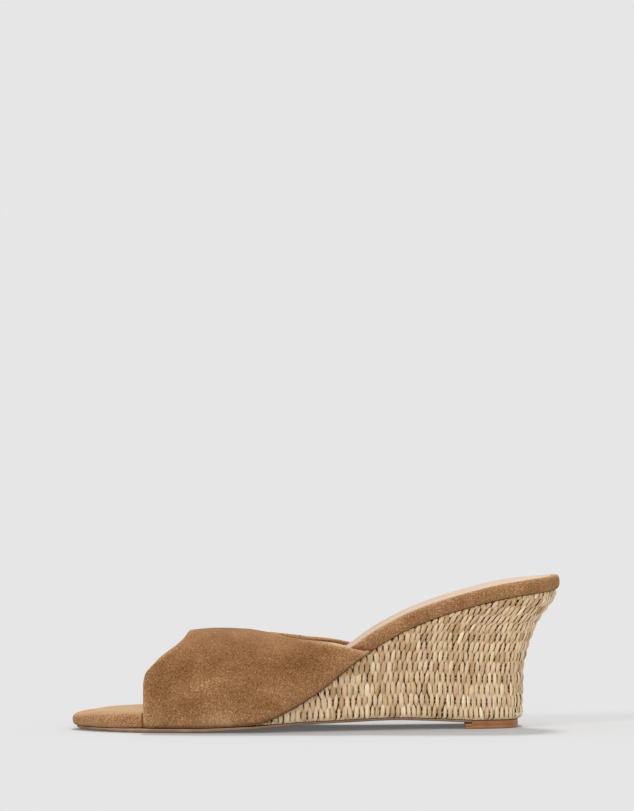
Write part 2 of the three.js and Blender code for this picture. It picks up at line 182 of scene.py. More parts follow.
# Outsole from the side: shares of the toe spring, the waist's lift, the way down to the heel
# tip, and the sole's thickness.
TREAD = columns(["along", "spring", "lift", "heel", "thick"], [
    (0.00, 1.00, 0.00, 0.00, 0.52),
    (0.05, 0.40, 0.00, 0.00, 0.70),
    (0.11, 0.00, 0.00, 0.00, 0.92),
    (0.15, 0.00, 0.00, 0.00, 1.00),
    (0.25, 0.00, 0.00, 0.00, 1.00),
    (0.31, 0.00, 0.17, 0.00, 0.82),
    (0.38, 0.00, 0.36, 0.00, 0.70),
    (0.48, 0.00, 0.70, 0.00, 0.60),
    (0.56, 0.00, 0.83, 0.00, 0.60),
    (0.65, 0.00, 0.97, 0.00, 0.60),
    (0.73, 0.00, 1.00, 0.35, 0.60),
    (0.82, 0.00, 1.00, 1.00, 0.60),
])
# How far the footbed's underside climbs, as a share of the heel rise.
CLIMB = columns(["along", "rise"], [
    (0.345, 0.000),
    (0.380, 0.012),
    (0.406, 0.043),
    (0.440, 0.098),
    (0.509, 0.256),
    (0.574, 0.447),
    (0.639, 0.617),
    (0.716, 0.761),
    (0.798, 0.863),
    (0.898, 0.952),
    (1.000, 1.000),
])
# The footbed's thickness and the rounding of its rim, as shares of its thickness.
RIM = columns(["along", "below", "above", "thick"], [
    (0.00, 0.22, 0.45, 0.76),
    (0.03, 0.20, 0.41, 0.90),
    (0.06, 0.17, 0.35, 0.97),
    (0.10, 0.16, 0.30, 1.00),
    (0.80, 0.22, 0.24, 1.00),
    (1.00, 0.34, 0.22, 1.00),
])
# How far the outsole's edge lies inside the footbed's edge, as a share of the sole's set-in.
SOLE_EDGE = columns(["along", "set_in"], [
    (0.00, 0.72),
    (0.08, 0.40),
    (0.17, -0.30),
    (0.34, -0.30),
    (0.47, 1.00),
    (1.00, 1.00),
])
# The share of the half width that the wedge loses at its foot.
NARROWING = columns(["along", "narrow"], [
    (0.36, 0.00),
    (0.50, 0.05),
    (0.65, 0.12),
    (0.80, 0.15),
    (1.00, 0.15),
])
# The wedge's side flares out towards the seat: height share against share of the way out.
FLARE = columns(["height", "out"], [
    (0.00, 0.00),
    (0.38, 0.04),
    (0.50, 0.12),
    (0.65, 0.29),
    (0.76, 0.46),
    (0.86, 0.70),
    (0.94, 0.90),
    (1.00, 1.00),
])
# Ridge of the band from the side, as a share of the band's height.
RIDGE = columns(["along", "height"], [
    (0.14, 0.86),
    (0.18, 0.93),
    (0.24, 0.978),
    (0.30, 1.00),
    (0.36, 0.988),
    (0.42, 0.948),
    (0.47, 0.965),
    (0.54, 1.11),
    (0.62, 1.38),
])
# Cut edges of the band, by the share of the section's height, from the sole to the ridge.
TOE_EDGE = columns(["height", "along"], [
    (0.00, 0.160),
    (0.05, 0.1525),
    (0.15, 0.1515),
    (0.50, 0.1515),
    (0.63, 0.155),
    (0.70, 0.167),
    (0.76, 0.184),
    (0.84, 0.209),
    (0.91, 0.226),
    (0.96, 0.235),
    (1.00, 0.241),
])
TOPLINE = columns(["height", "outer_side", "inner_side"], [
    (0.00, 0.615, 0.603),
    (0.03, 0.610, 0.600),
    (0.24, 0.584, 0.583),
    (0.40, 0.565, 0.564),
    (0.60, 0.538, 0.538),
    (0.79, 0.504, 0.505),
    (0.91, 0.472, 0.473),
    (0.97, 0.440, 0.441),
    (1.00, 0.420, 0.420),
])


@dataclass
class Last:
    """The lines that every piece follows, in millimetres along the shoe from the toe tip.

    Along runs to the heel, y to the inner side of the foot and z up from the floor.
    """

    length: float = 233.0
    ball_width: float = 75.4
    heel_rise: float = 62.0
    seam: float = 0.3
    sole_thick: float = 2.0
    toe_spring: float = 0.9
    waist_lift: float = 4.7
    tip_length: float = 25.3
    tip_height: float = 4.0
    tip_rebate: float = 3.3
    footbed_thick: float = 7.1
    dish: float = 0.9
    dish_run: float = 9.0
    back_taper: float = 17.7
    foot_squareness: float = 0.45
    least_roundness: float = 0.05
    cover_set_in: float = 1.7
    cover_proud: float = 1.1
    rim_rounded: float = 0.42
    taper_share: float = 0.6
    sideways: float = 0.0

    def __post_init__(self) -> None:
        """Makes the curves and the sizes that follow from the fields."""
        share = PLAN["along"]
        self._middle = Line(share, PLAN["middle"])
        self._half_squared = Line(share, PLAN["half"] ** 2)
        self._tread = {name: Line(TREAD["along"], TREAD[name]) for name in TREAD if name != "along"}
        self._rim = {name: Line(RIM["along"], RIM[name]) for name in RIM if name != "along"}
        self._rise = Line(CLIMB["along"], CLIMB["rise"])
        self._narrow = Line(NARROWING["along"], NARROWING["narrow"])
        self._set_in = Line(SOLE_EDGE["along"], SOLE_EDGE["set_in"])
        self.flare = Line(FLARE["height"], FLARE["out"])
        self.wedge_start = CLIMB["along"][0] * self.length
        self.taper_start = self.taper_share * self.length
        self.squeeze = self.back_taper / (self.length - self.taper_start)
        self.sole_set_in = self.cover_set_in + self.cover_proud
        self.foot_end = float(self.foot_along(np.array(self.length)))
        self.tip_front = self.foot_end - self.sole_set_in - self.tip_length
        self.sole_end = self.tip_front + self.tip_rebate

    def middle(self, along: Array) -> Array:
        """Sideways place of the middle line."""
        return self.ball_width * self._middle(along / self.length)

    def half(self, along: Array) -> Array:
        """Half width of the footbed."""
        return self.ball_width * np.sqrt(np.maximum(self._half_squared(along / self.length), 0.0))

    def sole_thickness(self, along: Array) -> Array:
        """Thickness of the outsole."""
        return self.sole_thick * self._tread["thick"](along / self.length)

    def sole_under(self, along: Array) -> Array:
        """Height of the outsole's underside; at the heel its top is level with the heel tip's.

        It is the sum of the toe spring, the waist's lift and the way down to the heel tip, each
        times its share at the place.

        Args:
            along: distances along the shoe.

        Returns:
            Heights above the floor.
        """
        share = along / self.length
        down = self.tip_height - self.sole_thickness(along) - self.waist_lift
        return (self.toe_spring * self._tread["spring"](share)
                + self.waist_lift * self._tread["lift"](share) + down * self._tread["heel"](share))

    def sole_top(self, along: Array) -> Array:
        """Height of the outsole's top."""
        return self.sole_under(along) + self.sole_thickness(along)

    def footbed_under(self, along: Array) -> Array:
        """Height of the footbed's underside."""
        start = self.sole_top(np.minimum(along, self.wedge_start))
        return start + self.seam + self.heel_rise * self._rise(along / self.length)

    def steepness(self, along: Array) -> Array:
        """How much longer a distance square to the footbed is when it is measured straight up."""
        slope = (self.footbed_under(along + 1.0) - self.footbed_under(along - 1.0)) / 2.0
        return np.hypot(1.0, slope)

    def footbed_rise(self, along: Array) -> Array:
        """The footbed's thickness measured straight up."""
        return self.footbed_thick * self._rim["thick"](along / self.length) * self.steepness(along)

    def wedge_top(self, along: Array) -> Array:
        """Height of the wedge's top, just under the footbed."""
        return self.footbed_under(along) - self.seam * self.steepness(along)

    def rim_inset(self, along: Array, share: Array) -> Array:
        """How far the rim is rounded in, at a share of the footbed's thickness.

        The rounding is a quarter ellipse at the foot of the rim and another at its top.

        Args:
            along: distances along the shoe.
            share: height as a share of the footbed's thickness.

        Returns:
            Distance in from the rim's widest line.
        """
        below = np.maximum(0.0, 1.0 - share / self.rim_rounded)
        above = np.clip((share - 1.0 + self.rim_rounded) / self.rim_rounded, 0.0, 1.0)
        place = along / self.length
        depth = (self._rim["below"](place) * (1.0 - np.sqrt(1.0 - below**2))
                 + self._rim["above"](place) * (1.0 - np.sqrt(1.0 - above**2)))
        return self.footbed_thick * depth

    def footbed_top(self, along: Array, inset: Array) -> Array:
        """Height of the footbed's top, dished over a run in from its edge.

        Args:
            along: distances along the shoe.
            inset: distances in from the edge.

        Returns:
            Heights above the floor.
        """
        dip = self.dish * smoothstep(inset, 0.0, self.dish_run)
        return self.footbed_under(along) + self.footbed_rise(along) - dip

    def wrap_height(self, along: Array, inset: Array) -> Array:
        """Height of the footbed's upper surface, with the quarter ellipse of its rim.

        Args:
            along: distances along the shoe.
            inset: distances in from the edge.

        Returns:
            Heights above the floor.
        """
        outside = np.clip(1.0 - inset / self.rim_inset(along, np.ones_like(along)), 0.0, 1.0)
        drop = self.rim_rounded * (1.0 - np.sqrt(1.0 - outside**2))
        return self.footbed_top(along, inset) - drop * self.footbed_rise(along)

    def foot_along(self, along: Array) -> Array:
        """Where a place of the seat comes down on the floor: the rear is squeezed forwards."""
        return along - self.squeeze * np.maximum(0.0, along - self.taper_start)

    def seat_along(self, along: Array) -> Array:
        """The place of the seat above a place on the floor."""
        return along + self.squeeze / (1.0 - self.squeeze) * np.maximum(0.0, along - self.taper_start)

    def foot_widening(self, along: Array) -> Array:
        """Width of the wedge's foot over that of its seat: narrower, with a squarer back.

        Its half width falls off towards the back as a power below 1 of the seat's.

        Args:
            along: places of the seat.

        Returns:
            The share at each place.
        """
        full = float(self.half(np.array(self.taper_start)))
        roundness = np.where(along > self.taper_start, np.minimum(1.0, self.half(along) / full), 1.0)
        squarer = np.maximum(roundness, self.least_roundness) ** (self.foot_squareness - 1.0)
        return (1.0 - self._narrow(along / self.length)) * squarer

    def foot_half(self, along: Array) -> Array:
        """Half width of the wedge's foot, at a distance along the floor."""
        above = self.seat_along(along)
        return self.half(above) * self.foot_widening(above)

    def sole_inset(self, along: Array) -> Array:
        """How far the edge of the outsole and the heel tip lies inside the footbed's edge."""
        return self.sole_set_in * self._set_in(along / self.length)

    def wedge_under(self, along: Array) -> Array:
        """Height of the wedge's underside, on the outsole and on the heel tip."""
        return np.where(along < self.sole_end, self.sole_top(along), self.tip_height) + self.seam

    def place(self, points: Array) -> Array:
        """Moves points from the last's millimetres into the frame's metres.

        Args:
            points: an array whose last axis is along, y, z.

        Returns:
            The same points as x, y, z in metres.
        """
        return (points + np.array([-self.length / 2.0, self.sideways, 0.0])) * MM


def stations(start: float, end: float, count: int, round_front: bool, round_back: bool) -> Array:
    """Distances along an outline, closer together towards ends that are round.

    Args:
        start: the first distance.
        end: the last distance.
        count: how many steps there are between them.
        round_front: whether the first end is round.
        round_back: whether the last end is round.

    Returns:
        The distances, spaced by a cosine or sine where an end is round.
    """
    t = np.linspace(0.0, 1.0, count + 1)
    if round_front and round_back:
        t = (1.0 - np.cos(np.pi * t)) / 2.0
    elif round_front:
        t = 1.0 - np.cos(np.pi * t / 2.0)
    elif round_back:
        t = np.sin(np.pi * t / 2.0)
    return start + (end - start) * t


def outline(alongs: Array, middle: Array, half: Array) -> Array:
    """The closed ring of a piece seen from above: outer side to the back, inner side to the front.

    Args:
        alongs: distances along the shoe.
        middle: the middle line's sideways place at each.
        half: the half width at each.

    Returns:
        An array of along, y with twice as many rows as distances.
    """
    outer = np.stack([alongs, middle - half], axis=-1)
    inner = np.stack([alongs, middle + half], axis=-1)
    return np.concatenate([outer, inner[::-1]])


def inset_ring(ring: Array, distance: Array, cut_front: bool = False, cut_back: bool = False) -> Array:
    """Moves a ring inwards, square to the line between each point's neighbours.

    Args:
        ring: along, y of each point.
        distance: how far each point moves.
        cut_front: whether the ring starts with a straight cut, whose corners move sideways only.
        cut_back: whether the ring's far end is a straight cut.

    Returns:
        The moved ring.
    """
    count = len(ring)
    turn = count // 2
    number = np.arange(count)
    before, after = (number - 1) % count, (number + 1) % count
    before[0], after[-1] = (0, count - 1) if cut_front else (count - 2, 1)
    if cut_back:
        after[turn - 1], before[turn] = turn - 1, turn
    else:
        after[turn - 1], before[turn] = turn + 1, turn - 2
    direction = ring[after] - ring[before]
    inwards = unit(np.stack([-direction[:, 1], direction[:, 0]], axis=-1))
    corners = [0, count - 1] * cut_front + [turn - 1, turn] * cut_back
    inwards[corners, 0] = 0.0
    return ring + inwards * np.broadcast_to(distance, count)[:, None]


def tube_faces(size: int, rings: int, count: int) -> Array:
    """Quads round many tubes, each a stack of closed rings of points.

    Args:
        size: how many tubes there are.
        rings: how many rings a tube has.
        count: how many points a ring has.

    Returns:
        The corner numbers of each quad.
    """
    tube, ring, i = np.meshgrid(np.arange(size), np.arange(rings - 1), np.arange(count), indexing="ij")
    start = (tube * rings + ring) * count
    a, b = start + i, start + (i + 1) % count
    return np.stack([a, b, b + count, a + count], axis=-1).reshape(-1, 4)


def ring_faces(levels: int, count: int) -> Array:
    """Faces of a closed solid through rings of points from bottom to top.

    Args:
        levels: how many rings there are.
        count: how many points a ring has, half of them on each side.

    Returns:
        The corner numbers of quads round the side, and of strips across the first and last ring.
    """
    outer = np.arange(count // 2 - 1)
    inner = count - 1 - outer
    bottom = np.stack([outer, inner, inner - 1, outer + 1], axis=-1)
    top = np.stack([outer, outer + 1, inner - 1, inner], axis=-1) + (levels - 1) * count
    return np.concatenate([tube_faces(1, levels, count), bottom, top])


def around(front: Array, far: Array, back: Array, near: Array) -> Array:
    """Closed rows of points: over the front, round the far edge, back and round the near edge."""
    return np.concatenate([front, far, back[:, ::-1], near], axis=1)


def capped(rows: Array, ends: Array) -> Array:
    """A grid's rows between the first and the last row of another grid."""
    return np.concatenate([ends[:1], rows, ends[-1:]])


def make_piece(name: str, points: Array, faces: Array, material: bpy.types.Material,
               floats: dict[str, Array] | None = None, uv: Array | None = None,
               merge: bool = True) -> bpy.types.Object:
    """Puts a mesh worked out as arrays into the scene.

    Args:
        name: the piece's name.
        points: x, y, z of each corner, in metres.
        faces: corner numbers of each face.
        material: the piece's finish.
        floats: point attributes by name.
        uv: across and along of each corner, for a pattern that follows the surface.
        merge: whether corners that coincide are joined.

    Returns:
        The new object, at the origin, with smooth faces pointing out.
    """
    mesh = bpy.data.meshes.new(name)
    mesh.from_pydata(points.reshape(-1, 3).tolist(), [], faces.tolist())
    for key, values in (floats or {}).items():
        attribute = mesh.attributes.new(key, "FLOAT", "POINT")
        attribute.data.foreach_set("value", values.astype(np.float32).ravel())
    if uv is not None:
        corner = np.empty(len(mesh.loops), np.int32)
        mesh.loops.foreach_get("vertex_index", corner)
        layer = mesh.uv_layers.new(name="UVMap")
        layer.data.foreach_set("uv", uv.reshape(-1, 2)[corner].astype(np.float32).ravel())
    if merge:
        work = bmesh.new()
        work.from_mesh(mesh)
        bmesh.ops.remove_doubles(work, verts=work.verts, dist=MERGE_DISTANCE)
        bmesh.ops.dissolve_degenerate(work, edges=work.edges, dist=SHORTEST_EDGE)
        bmesh.ops.recalc_face_normals(work, faces=work.faces)
        work.to_mesh(mesh)
        work.free()
    mesh.polygons.foreach_set("use_smooth", np.ones(len(mesh.polygons), bool))
    mesh.materials.append(material)
    mesh.update()
    piece = bpy.data.objects.new(name, mesh)
    bpy.context.scene.collection.objects.link(piece)
    return piece


def hang(piece: bpy.types.Object, slot: str, *nodes: str) -> None:
    """Rides a piece on the shoe's one body, hides the solids it stands for and logs its material slot.

    Args:
        piece: the finished piece.
        slot: the material slot, which is only logged.
        nodes: the solids that it replaces.
    """
    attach(piece, "root")
    if nodes:
        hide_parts(*nodes)
    LOG.info("%s: %d faces, slot %s", piece.name, len(piece.data.polygons), slot)


def linear(colour: str) -> tuple[float, float, float, float]:
    """Turns an sRGB hex value into the linear colour that the shaders take.

    Args:
        colour: six hex digits.

    Returns:
        Red, green, blue and an alpha of 1.
    """
    shares = [int(colour[i:i + 2], 16) / 255.0 for i in (0, 2, 4)]
    return (*[c / 12.92 if c <= 0.04045 else ((c + 0.055) / 1.055) ** 2.4 for c in shares], 1.0)


def wire(tree: bpy.types.NodeTree, node: bpy.types.Node, values: dict | None = None,
         links: dict | None = None) -> None:
    """Sets and links a node's sockets.

    Args:
        tree: the node tree.
        node: the node.
        values: numbers and colours for sockets that nothing is linked to, by name or number.
        links: the output that each linked socket takes, by name or number.
    """
    for key, value in (values or {}).items():
        node.inputs[key].default_value = value
    for key, output in (links or {}).items():
        tree.links.new(output, node.inputs[key])


def add_node(tree: bpy.types.NodeTree, kind: str, values: dict | None = None, links: dict | None = None,
             stops: tuple[tuple[float, str], ...] = (), **settings: object) -> bpy.types.Node:
    """Adds a node with its settings and links.

    Args:
        tree: the node tree.
        kind: the node's type.
        values: numbers for sockets that nothing is linked to, by name or number.
        links: the output that each linked socket takes, by name or number.
        stops: positions and hex colours, for a colour ramp.
        settings: the node's own properties.

    Returns:
        The node.
    """
    node = tree.nodes.new(kind)
    for key, value in settings.items():
        setattr(node, key, value)
    wire(tree, node, values, links)
    if stops:
        elements = node.color_ramp.elements
        while len(elements) < len(stops):
            elements.new(0.5)
        for element, (position, colour) in zip(elements, stops):
            element.position = position
            element.color = linear(colour)
    return node


def add_up(tree: bpy.types.NodeTree, total: float | bpy.types.NodeSocket,
           *terms: tuple[bpy.types.NodeSocket, float]) -> bpy.types.NodeSocket:
    """Adds outputs up, each times its amount.

    Args:
        tree: the node tree.
        total: the number or the output that the sum starts from.
        terms: outputs and their amounts.

    Returns:
        The sum's output.
    """
    for source, amount in terms:
        start = ({2: total}, {}) if isinstance(total, float) else ({}, {2: total})
        total = add_node(tree, "ShaderNodeMath", {1: amount, **start[0]}, {0: source, **start[1]},
                         operation="MULTIPLY_ADD").outputs[0]
    return total


def new_material(name: str) -> tuple[bpy.types.Material, bpy.types.NodeTree, bpy.types.Node]:
    """Starts a material.

    Args:
        name: the material's name.

    Returns:
        The material, its node tree and its Principled shader.
    """
    material = bpy.data.materials.new(name)
    material.use_nodes = True
    tree = material.node_tree
    return material, tree, tree.nodes["Principled BSDF"]


@dataclass(frozen=True)
class Suede:
    """Cow suede, split and buffed: a short standing nap that scatters light, so it looks matte.

    The nap lies this way and that, which shows as mottling of a few millimetres and as broad
    lighter and darker strokes. The attribute rim paints a highlight on folded edges and tops.
    """

    name: str = "buffed_suede"
    stops: tuple[tuple[float, str], ...] = (
        (0.00, "6A4323"), (0.22, "7F5733"), (0.42, "8B623E"), (0.58, "936A46"), (0.78, "A07751"),
        (1.00, "BA926C"))
    nap_mm: float = 0.70
    fibre_mm: float = 0.38
    stroke_mm: float = 16.0
    nap_amount: float = 1.7
    fibre_amount: float = 1.7
    stroke_amount: float = 0.85
    highlight_gain: float = 0.24
    mean_tone: float = 0.55
    fibre_height: float = 0.5
    bump_mm: float = 0.16
    bump_strength: float = 0.5
    roughness: float = 0.95
    specular: float = 0.15
    sheen: float = 0.12
    sheen_roughness: float = 0.6
    sheen_tint: str = "D9B48E"

    def build(self) -> bpy.types.Material:
        """Builds the material.

        Returns:
            A material that reads Object coordinates and the attributes tone and rim.
        """
        material, tree, shader = new_material(self.name)
        place = add_node(tree, "ShaderNodeTexCoord").outputs["Object"]
        noises = ((self.nap_mm, {"Detail": 2.0, "Roughness": 0.6}), (self.fibre_mm, {"Detail": 1.0}),
                  (self.stroke_mm, {"Detail": 3.0, "Roughness": 0.62, "Distortion": 0.6}))
        nap, fibre, stroke = (add_node(tree, "ShaderNodeTexNoise", {"Scale": 1.0 / (size * MM), **more},
                                       {"Vector": place}).outputs["Fac"] for size, more in noises)
        tone, rim = (add_node(tree, "ShaderNodeAttribute", attribute_name=key).outputs["Fac"]
                     for key in ("tone", "rim"))
        # tone carries the given tone steps, painted shade and painted light among them; rim is a painted
        # highlight, scaled by highlight_gain
        start = self.mean_tone - 0.5 * (self.nap_amount + self.fibre_amount + self.stroke_amount)
        total = add_up(tree, start, (nap, self.nap_amount), (fibre, self.fibre_amount),
                       (stroke, self.stroke_amount), (tone, 1.0), (rim, self.highlight_gain))
        ramp = add_node(tree, "ShaderNodeValToRGB", links={"Fac": total}, stops=self.stops)
        height = add_up(tree, nap, (fibre, self.fibre_height))
        bump = add_node(tree, "ShaderNodeBump",
                        {"Strength": self.bump_strength, "Distance": self.bump_mm * MM}, {"Height": height})
        wire(tree, shader, {"Roughness": self.roughness, "Specular IOR Level": self.specular,
                            "Sheen Weight": self.sheen, "Sheen Roughness": self.sheen_roughness,
                            "Sheen Tint": linear(self.sheen_tint)},
             {"Base Color": ramp.outputs["Color"], "Normal": bump.outputs["Normal"]})
        return material


@dataclass(frozen=True)
class LiningLeather:
    """Pale pigmented lining leather, smooth: a soft gloss over a grain finer than half a millimetre."""

    name: str = "pale_lining_leather"
    dark: str = "B29A81"
    light: str = "BBA38A"
    front_dark: str = "977240"
    front_light: str = "B08955"
    grain_mm: float = 0.55
    cloud_mm: float = 22.0
    patch_mm: float = 0.9
    roughness: float = 0.55
    specular: float = 0.35
    bump_mm: float = 0.05
    bump_strength: float = 0.35

    def build(self) -> bpy.types.Material:
        """Builds the material.

        Returns:
            A material that reads Object coordinates and the attribute worn.
        """
        material, tree, shader = new_material(self.name)
        place = add_node(tree, "ShaderNodeTexCoord").outputs["Object"]
        clouds = ((self.cloud_mm, 4.0, ((0.35, self.dark), (0.62, self.light))),
                  (self.patch_mm, 2.0, ((0.30, self.front_dark), (0.70, self.front_light))))
        colours = []
        for size, detail, stops in clouds:
            cloud = add_node(tree, "ShaderNodeTexNoise", {"Scale": 1.0 / (size * MM), "Detail": detail},
                             {"Vector": place})
            colours.append(add_node(tree, "ShaderNodeValToRGB", links={"Fac": cloud.outputs["Fac"]},
                                    stops=stops).outputs["Color"])
        # Where front_darkening is 1 the colour turns to the darker, more golden pair of colours
        front_darkening = add_node(tree, "ShaderNodeAttribute", attribute_name="front_darkening").outputs["Fac"]
        colour = add_node(tree, "ShaderNodeMix", links={0: front_darkening, 6: colours[0], 7: colours[1]},
                          data_type="RGBA")
        grain = add_node(tree, "ShaderNodeTexVoronoi", {"Scale": 1.0 / (self.grain_mm * MM)},
                         {"Vector": place})
        bump = add_node(tree, "ShaderNodeBump",
                        {"Strength": self.bump_strength, "Distance": self.bump_mm * MM},
                        {"Height": grain.outputs["Distance"]})
        wire(tree, shader, {"Roughness": self.roughness, "Specular IOR Level": self.specular},
             {"Base Color": colour.outputs[2], "Normal": bump.outputs["Normal"]})
        return material


@dataclass(frozen=True)
class Raffia:
    """Raffia palm strips, dried and folded: a waxy straw surface with fine lengthwise fibres.

    Each strip has its own tone, from grey and pink to ochre straw, and the attribute dip mixes in
    painted shade where it dips between its neighbours and at its sides.
    """

    name: str = "natural_raffia"
    stops: tuple[tuple[float, str], ...] = (
        (0.00, "B79366"), (0.22, "CFB085"), (0.45, "DEC298"), (0.62, "E6CA9F"), (0.80, "EFD8B3"),
        (1.00, "FAEACD"))
    fibre_mm: float = 0.36
    fibre_run_mm: float = 9.0
    fibre_amount: float = 1.9
    patch_mm: float = 1.3
    patch_run_mm: float = 5.0
    patch_amount: float = 0.6
    # Painted shade for the valleys between strips and for their sides
    painted_valley_shade: str = "5F4426"
    pink: str = "DEBFA6"
    bump_mm: float = 0.24
    bump_strength: float = 0.6
    roughness: float = 0.5
    specular: float = 0.4

    def build(self) -> bpy.types.Material:
        """Builds the material.

        Returns:
            A material that reads the UV map and the attributes tone, hue and dip.
        """
        material, tree, shader = new_material(self.name)
        place = add_node(tree, "ShaderNodeUVMap", uv_map="UVMap").outputs["UV"]
        noises = []
        for width, run, more in ((self.fibre_mm, self.fibre_run_mm, {"Detail": 3.0, "Roughness": 0.65}),
                                 (self.patch_mm, self.patch_run_mm, {"Detail": 1.0})):
            stretched = add_node(tree, "ShaderNodeMapping", {"Scale": (1.0 / width, 1.0 / run, 1.0)},
                                 {"Vector": place})
            noises.append(add_node(tree, "ShaderNodeTexNoise", {"Scale": 1.0, **more},
                                   {"Vector": stretched.outputs["Vector"]}).outputs["Fac"])
        fibre, patch = noises
        tone, hue, dip = (add_node(tree, "ShaderNodeAttribute", attribute_name=key).outputs["Fac"]
                          for key in ("tone", "hue", "dip"))
        total = add_up(tree, -0.5 * (self.fibre_amount + self.patch_amount), (fibre, self.fibre_amount),
                       (patch, self.patch_amount), (tone, 1.0))
        colour = add_node(tree, "ShaderNodeValToRGB", links={"Fac": total}, stops=self.stops).outputs["Color"]
        for share, other in ((hue, self.pink), (dip, self.painted_valley_shade)):
            colour = add_node(tree, "ShaderNodeMix", {7: linear(other)}, {0: share, 6: colour},
                              data_type="RGBA").outputs[2]
        bump = add_node(tree, "ShaderNodeBump",
                        {"Strength": self.bump_strength, "Distance": self.bump_mm * MM}, {"Height": fibre})
        wire(tree, shader, {"Roughness": self.roughness, "Specular IOR Level": self.specular},
             {"Base Color": colour, "Normal": bump.outputs["Normal"]})
        return material


@dataclass(frozen=True)
class PlainFinish:
    """A dyed or moulded surface with slight clouding and a fine texture."""

    name: str
    dark: str
    light: str
    roughness: float
    cloud_mm: float = 6.0
    grain_mm: float = 0.4
    bump_mm: float = 0.03
    bump_strength: float = 0.4
    specular: float = 0.4
    rib_mm: float = 0.0
    rib_height: float = 4.0

    def build(self) -> bpy.types.Material:
        """Builds the material.

        Returns:
            A material that reads Object coordinates.
        """
        material, tree, shader = new_material(self.name)
        place = add_node(tree, "ShaderNodeTexCoord").outputs["Object"]
        cloud, height = (add_node(tree, "ShaderNodeTexNoise", {"Scale": 1.0 / (size * MM), "Detail": detail},
                                  {"Vector": place}).outputs["Fac"]
                         for size, detail in ((self.cloud_mm, 3.0), (self.grain_mm, 1.0)))
        ramp = add_node(tree, "ShaderNodeValToRGB", links={"Fac": cloud},
                        stops=((0.36, self.dark), (0.64, self.light)))
        if self.rib_mm:
            ribs = add_node(tree, "ShaderNodeTexWave",
                            {"Scale": WAVE_RUN / (self.rib_mm * MM), "Distortion": 0.0},
                            {"Vector": place}, bands_direction="X")
            height = add_up(tree, height, (ribs.outputs["Fac"], self.rib_height))
        bump = add_node(tree, "ShaderNodeBump",
                        {"Strength": self.bump_strength, "Distance": self.bump_mm * MM}, {"Height": height})
        wire(tree, shader, {"Roughness": self.roughness, "Specular IOR Level": self.specular},
             {"Base Color": ramp.outputs["Color"], "Normal": bump.outputs["Normal"]})
        return material


# Underlayer of the raffia cover, seen only in the gaps between the stitches: its dark colour is painted shade
# for the gaps
GAP_SHADE_BACKING = PlainFinish("painted_gap_shade", "3A2615", "6B4C2E", 0.9, cloud_mm=1.2, grain_mm=0.5,
                      bump_mm=0.2, specular=0.1)
# Moulded sole sheet with a dyed, burnished edge: an even satin brown
SOLE_SHEET = PlainFinish("moulded_sole_sheet", "85634A", "967359", 0.55)
SOLE_LIP = PlainFinish("burnished_sole_edge", "A98A70", "B8977C", 0.5)
# Tread of the same sheet, moulded with fine ribs across it for grip
SOLE_TREAD = PlainFinish("ribbed_sole_tread", "7C5B43", "8C6A51", 0.6, bump_mm=0.12, rib_mm=1.6)
# Top piece of hard rubber, moulded: smooth, with a soft gloss
TIP_RUBBER = PlainFinish("moulded_tip_rubber", "925F35", "9F6C41", 0.42)


@dataclass(frozen=True)
class Fold:
    """A soft trough or ridge in the band, listed in millimetres.

    The height is above the floor, or y from the middle line for a fold on top. Depth is
    negative for a trough.
    """

    side: Side
    along: float
    height: float
    angle: float
    length: float
    width: float
    depth: float
    faces_from: float = 0.05
    faces_fully: float = 0.55

    def relief(self, points: Array, normals: Array) -> Array:
        """Height of the fold: a bell across its line times a wider bell along it.

        Args:
            points: along, y, z.
            normals: outward directions at the points.

        Returns:
            How far each point moves out.
        """
        sideways, upwards = normals[..., 1], normals[..., 2]
        facing = {Side.OUTER: -sideways, Side.INNER: sideways, Side.TOP: upwards}[self.side]
        level = points[..., 1] if self.side is Side.TOP else points[..., 2]
        turn = math.radians(self.angle)
        run, rise = points[..., 0] - self.along, level - self.height
        lengthwise = (run * math.cos(turn) + rise * math.sin(turn)) / self.length
        across = (rise * math.cos(turn) - run * math.sin(turn)) / self.width
        bell = np.exp(-lengthwise**2 - across**2)
        return self.depth * smoothstep(facing, self.faces_from, self.faces_fully) * bell


# Folds of the outer side follow the photograph, and those of the hidden side are like them.
FOLDS = (
    Fold(Side.OUTER, 49.0, 33.0, 52.0, 10.0, 3.2, -0.45),
    Fold(Side.OUTER, 44.0, 22.0, 80.0, 12.0, 3.0, -0.30),
    Fold(Side.OUTER, 56.0, 12.0, 20.0, 14.0, 4.0, -0.50),
    Fold(Side.OUTER, 72.0, 8.0, 20.0, 10.0, 3.5, 0.45),
    Fold(Side.OUTER, 84.0, 18.0, -15.0, 14.0, 3.2, -0.35),
    Fold(Side.OUTER, 92.0, 26.0, -35.0, 20.0, 5.0, -0.30),
    Fold(Side.OUTER, 112.0, 34.0, -25.0, 14.0, 4.0, 0.30),
    Fold(Side.INNER, 50.0, 30.0, 55.0, 10.0, 3.2, -0.40),
    Fold(Side.INNER, 66.0, 14.0, 15.0, 15.0, 4.0, -0.35),
    Fold(Side.INNER, 100.0, 27.0, -30.0, 18.0, 5.0, -0.30),
)

